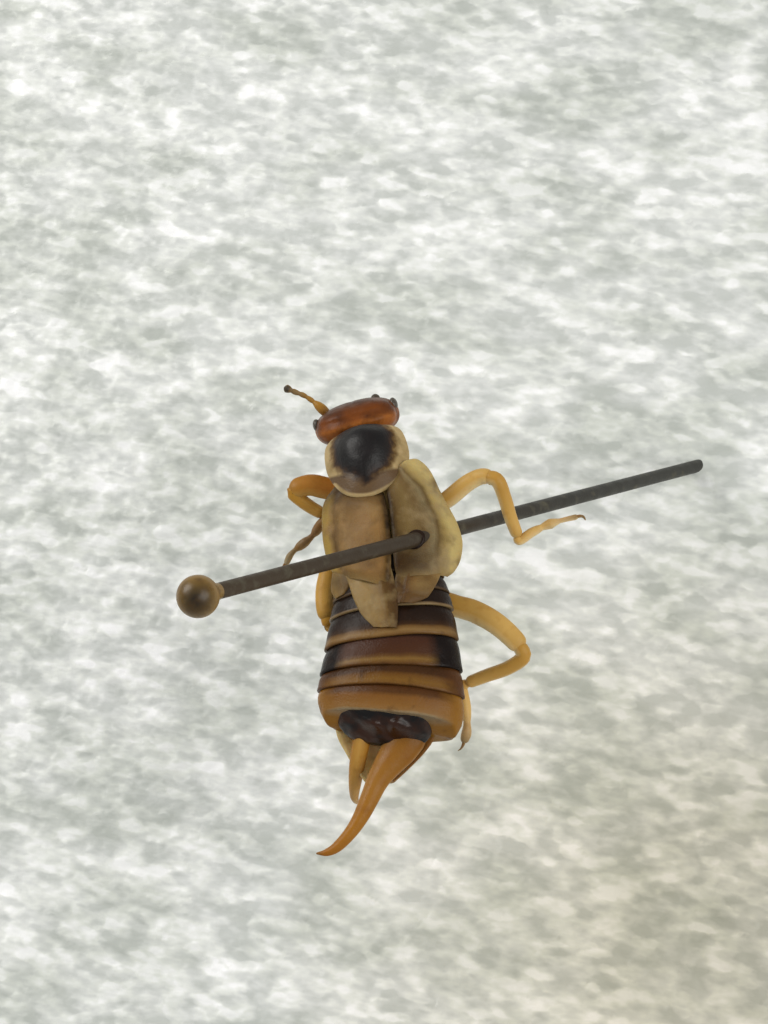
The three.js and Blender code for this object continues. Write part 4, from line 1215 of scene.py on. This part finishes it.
class EARWIG_OT_forceps(EarwigOperator):
    """Makes the two arms of the forceps"""

    bl_idname = "earwig.forceps"
    bl_label = "Forceps"

    def build(self, sizes, colours):
        horn = amber_cuticle(
            "hard amber forceps cuticle",
            [(0.0, "#6a4418"), (0.12, "#8a5c22"), (0.4, "#9a6a2a"), (0.7, "#a06a20"), (0.9, "#9a6220"), (0.97, "#7a5a34"), (1.0, "#4a3a2a")],
            "#b08048", blot="#84521a", roughness=0.3,
        )
        right = rod(
            [(-0.56, -5.08, -0.44), (-0.86, -5.6, -0.46), (-1.13, -6.0, -0.5), (-1.45, -6.38, -0.52), (-1.77, -6.79, -0.54),
             (-2.04, -7.28, -0.56), (-2.36, -7.84, -0.6), (-2.7, -8.28, -0.63), (-3.12, -8.66, -0.65), (-3.45, -8.8, -0.66),
             (-3.76, -8.8, -0.66)],
            [1.1, 1.22, 1.24, 1.12, 0.96, 0.82, 0.7, 0.62, 0.57, 0.52, 0.46, 0.41, 0.37, 0.33, 0.24, 0.05],
            [0.6, 0.66, 0.66, 0.62, 0.58, 0.54, 0.5, 0.47, 0.44, 0.4, 0.36, 0.33, 0.3, 0.26, 0.18, 0.05],
            sides=36, rings=90, keel=0.12,
        )
        settle(skin("forceps_arm_right", right), horn, "amber_cuticle", "forceps_right")
        left = rod(
            [(-2.12, -5.3, -0.45), (-2.26, -5.7, -0.6), (-2.44, -6.12, -0.95), (-2.62, -6.5, -1.5), (-2.78, -6.75, -2.2),
             (-2.83, -6.8, -2.75), (-2.83, -6.8, -3.1)],
            [0.5, 0.5, 0.48, 0.45, 0.41, 0.36, 0.3, 0.24, 0.18, 0.06], up=(1, 0, 0), sides=30, rings=60, keel=0.1,
        )
        # A lighter copy of the forceps' cuticle for the left arm: painted light, to cancel the shade that falls on it
        # under the body
        painted_lit_horn = amber_cuticle(
            "amber forceps cuticle painted lighter",
            [(0.0, "#7e5320"), (0.15, "#a6742a"), (0.6, "#ad7a2c"), (0.9, "#9c6a26"), (1.0, "#4a3a2a")], "#c0944a",
        )
        settle(skin("forceps_arm_left", left), painted_lit_horn, "amber_cuticle", "forceps_left")


class EARWIG_OT_legs(EarwigOperator):
    """Makes the six legs with their feet and claws"""

    bl_idname = "earwig.legs"
    bl_label = "Legs"

    def build(self, sizes, colours):
        amber = amber_cuticle(
            "amber leg cuticle", [(0.0, "#a97a2a"), (0.3, "#bb8b38"), (0.8, "#c49648"), (1.0, "#a87e38")], "#dcc68c"
        )
        # A lighter copy of the amber leg cuticle for the right legs: painted light, for the light that falls on that
        # side
        painted_lit_amber = amber_cuticle(
            "amber leg cuticle painted lighter",
            [(0.0, "#b0843a"), (0.3, "#bd9044"), (0.8, "#cfa65c"), (1.0, "#bd944e")], "#f0dca8", blot="#b07c30",
        )
        orange = amber_cuticle(
            "orange leg cuticle", [(0.0, "#a06a26"), (0.4, "#ac6f2a"), (0.9, "#aa742c"), (1.0, "#9a7030")], "#c9a258"
        )
        foot = amber_cuticle(
            "pale foot cuticle", [(0.0, "#d2a65a"), (0.5, "#d6b06c"), (0.8, "#b8986a"), (1.0, "#86704c")], "#ead2a0"
        )
        brown = amber_cuticle(
            "brown foot cuticle", [(0.0, "#8e6834"), (0.4, "#806240"), (0.75, "#86704c"), (1.0, "#a09070")], "#a88c5c"
        )
        femur, tibia, tarsus = (v / MM for v in (sizes.femur, sizes.tibia, sizes.tarsus))
        for name, leg in LEGS.items():
            # The right legs take the copy painted lighter as though lit
            shin = amber if name.endswith("left") else painted_lit_amber
            thigh = orange if name == "front_left" else shin
            toe = brown if name == "front_left" else foot
            # Turned over on the left, so that the broad painted rim light faces the body on both sides
            up = (0, 0, -1 if name.endswith("left") else 1)
            size = leg.get("size", 1.0)
            hip = rod(leg["coxa"], [0.62, 0.7, 0.5, 0.4], up=up, sides=24)
            settle(skin(f"hip_{name}", hip), thigh, "amber_cuticle", f"coxa_{name}")
            route = [leg["coxa"][1]] + leg["femur"]
            wide = [femur * size * k for k in (0.6, 0.8, 0.96, 1.0, 1.0, 0.97, 0.92, 0.84)]
            deep = [femur * k for k in (0.5, 0.66, 0.82, 0.86, 0.86, 0.82, 0.78, 0.72)]
            whole = rod(route, wide, deep, up=up, sides=28, rings=48)
            settle(skin(f"thigh_{name}", whole), thigh, "amber_cuticle", f"femur_{name}")
            wide = [tibia * k for k in (1.1, 1.08, 1.02, 1.0, 0.95, 0.88)]
            whole = rod(joined(leg["femur"], leg["tibia"], 0.26), wide, up=up, sides=24)
            settle(skin(f"shin_{name}", whole), shin, "amber_cuticle", f"tibia_{name}")
            # First joint long, second short and lobed, third thin
            usual = [1.0, 1.1, 1.15, 1.2, 1.2, 1.15, 1.05, 0.8, 1.1, 1.3, 0.95, 0.6, 0.62, 0.66, 0.7, 0.66]
            wide = [tarsus * k for k in leg.get("foot", usual)]
            whole = rod(joined(leg["tibia"], leg["tarsus"], 0.08), wide, up=up, sides=18, rings=90)
            settle(skin(f"foot_{name}", whole), toe, "amber_cuticle", f"tarsus_{name}")
            end, before = np.array(leg["tarsus"][-1]), np.array(leg["tarsus"][-2])
            way = unit(end - before)
            bend = np.array(leg.get("hook", (0, 0, -1)))
            aside = unit(np.cross(way, bend))
            for side, sign in (("a", -1), ("b", 1)):
                hook = [
                    end - way * 0.08 + aside * sign * 0.02,
                    end + way * 0.06 + aside * sign * 0.035,
                    end + way * 0.15 + aside * sign * 0.05 + bend * 0.05,
                    end + way * 0.17 + aside * sign * 0.04 + bend * 0.17,
                ]
                claw = skin(f"claw_{name}_{side}", rod(hook, [0.1, 0.09, 0.06, 0.02], sides=12, rings=18))
                settle(claw, brown, "amber_cuticle")


class EARWIG_OT_stage(EarwigOperator):
    """Makes the floor, the soft studio light and the camera"""

    bl_idname = "earwig.stage"
    bl_label = "Stage"

    def build(self, sizes, colours):
        scene = bpy.context.scene
        scene.view_settings.view_transform = "Standard"
        mesh = bpy.data.meshes.new("floor")
        mesh.from_pydata([(-0.6, -0.6, 0), (0.6, -0.6, 0), (0.6, 0.6, 0), (-0.6, 0.6, 0)], [], [(0, 1, 2, 3)])
        floor = bpy.data.objects.new("floor", mesh)
        scene.collection.objects.link(floor)
        matt, tree, shader = begin("matt painted floor", {"Roughness": 0.9})
        shader.inputs["Base Color"].default_value = tuple(colours.floor) + (1.0,)
        mesh.materials.append(matt)
        world = bpy.data.worlds.new("soft room light")
        world.use_nodes = True
        world.node_tree.nodes["Background"].inputs["Color"].default_value = tint("#f6f8fa")
        world.node_tree.nodes["Background"].inputs["Strength"].default_value = 0.42
        scene.world = world
        lamps = (
            ("window softbox", (-0.12, 0.085, 0.13), 0.11, 0.2),
            ("room softbox", (0.13, -0.05, 0.15), 0.14, 0.2),
        )
        for name, place, size, power in lamps:
            lamp = bpy.data.lights.new(name, "AREA")
            lamp.shape = "SQUARE"
            lamp.size = size
            lamp.energy = power
            lamp.color = tint("#fdfbf6")[:3]
            item = bpy.data.objects.new(name, lamp)
            item.location = place
            item.rotation_euler = (Vector((0.001, -0.008, 0.02)) - Vector(place)).to_track_quat("-Z", "Y").to_euler()
            scene.collection.objects.link(item)
        lens = bpy.data.cameras.new("camera")
        lens.lens, lens.sensor_width = 90.0, 36.0
        lens.clip_start, lens.clip_end = 0.002, 5.0
        camera = bpy.data.objects.new("camera", lens)
        # Columns are the camera's right, up and back
        right, up, back = (0.986, -0.059, -0.159), (0.110, 0.934, 0.339), (0.128, -0.352, 0.927)
        turn = Matrix((right, up, back)).transposed().to_quaternion().to_matrix().to_4x4()
        camera.matrix_world = Matrix.Translation((0.010695, -0.034491, 0.094381)) @ turn
        scene.collection.objects.link(camera)
        scene.camera = camera


OPERATORS = (
    EARWIG_OT_stage, EARWIG_OT_foam, EARWIG_OT_pin, EARWIG_OT_head, EARWIG_OT_mouth, EARWIG_OT_antennae,
    EARWIG_OT_thorax, EARWIG_OT_shield, EARWIG_OT_covers, EARWIG_OT_tips, EARWIG_OT_hind_body,
    EARWIG_OT_last_plate, EARWIG_OT_forceps, EARWIG_OT_legs,
)


class EARWIG_PT_sidebar(bpy.types.Panel):
    """Lists the sizes, the colours and the pieces"""

    bl_idname = "EARWIG_PT_sidebar"
    bl_label = "Earwig"
    bl_space_type = "VIEW_3D"
    bl_region_type = "UI"
    bl_category = "Earwig"

    def draw(self, context):
        for group in (context.scene.earwig_sizes, context.scene.earwig_colours):
            column = self.layout.column(align=True)
            for field in group.__annotations__:
                column.prop(group, field)
        column = self.layout.column(align=True)
        for operator in OPERATORS:
            column.operator(operator.bl_idname)


CLASSES = (EarwigSizes, EarwigColours, *OPERATORS, EARWIG_PT_sidebar)


def register():
    for made in CLASSES:
        bpy.utils.register_class(made)
    bpy.types.Scene.earwig_sizes = PointerProperty(type=EarwigSizes)
    bpy.types.Scene.earwig_colours = PointerProperty(type=EarwigColours)


def unregister():
    del bpy.types.Scene.earwig_sizes
    del bpy.types.Scene.earwig_colours
    for made in reversed(CLASSES):
        bpy.utils.unregister_class(made)


def main():
    register()
    for operator in OPERATORS:
        group, name = operator.bl_idname.split(".")
        getattr(getattr(bpy.ops, group), name)()


if __name__ == "__main__":
    main()
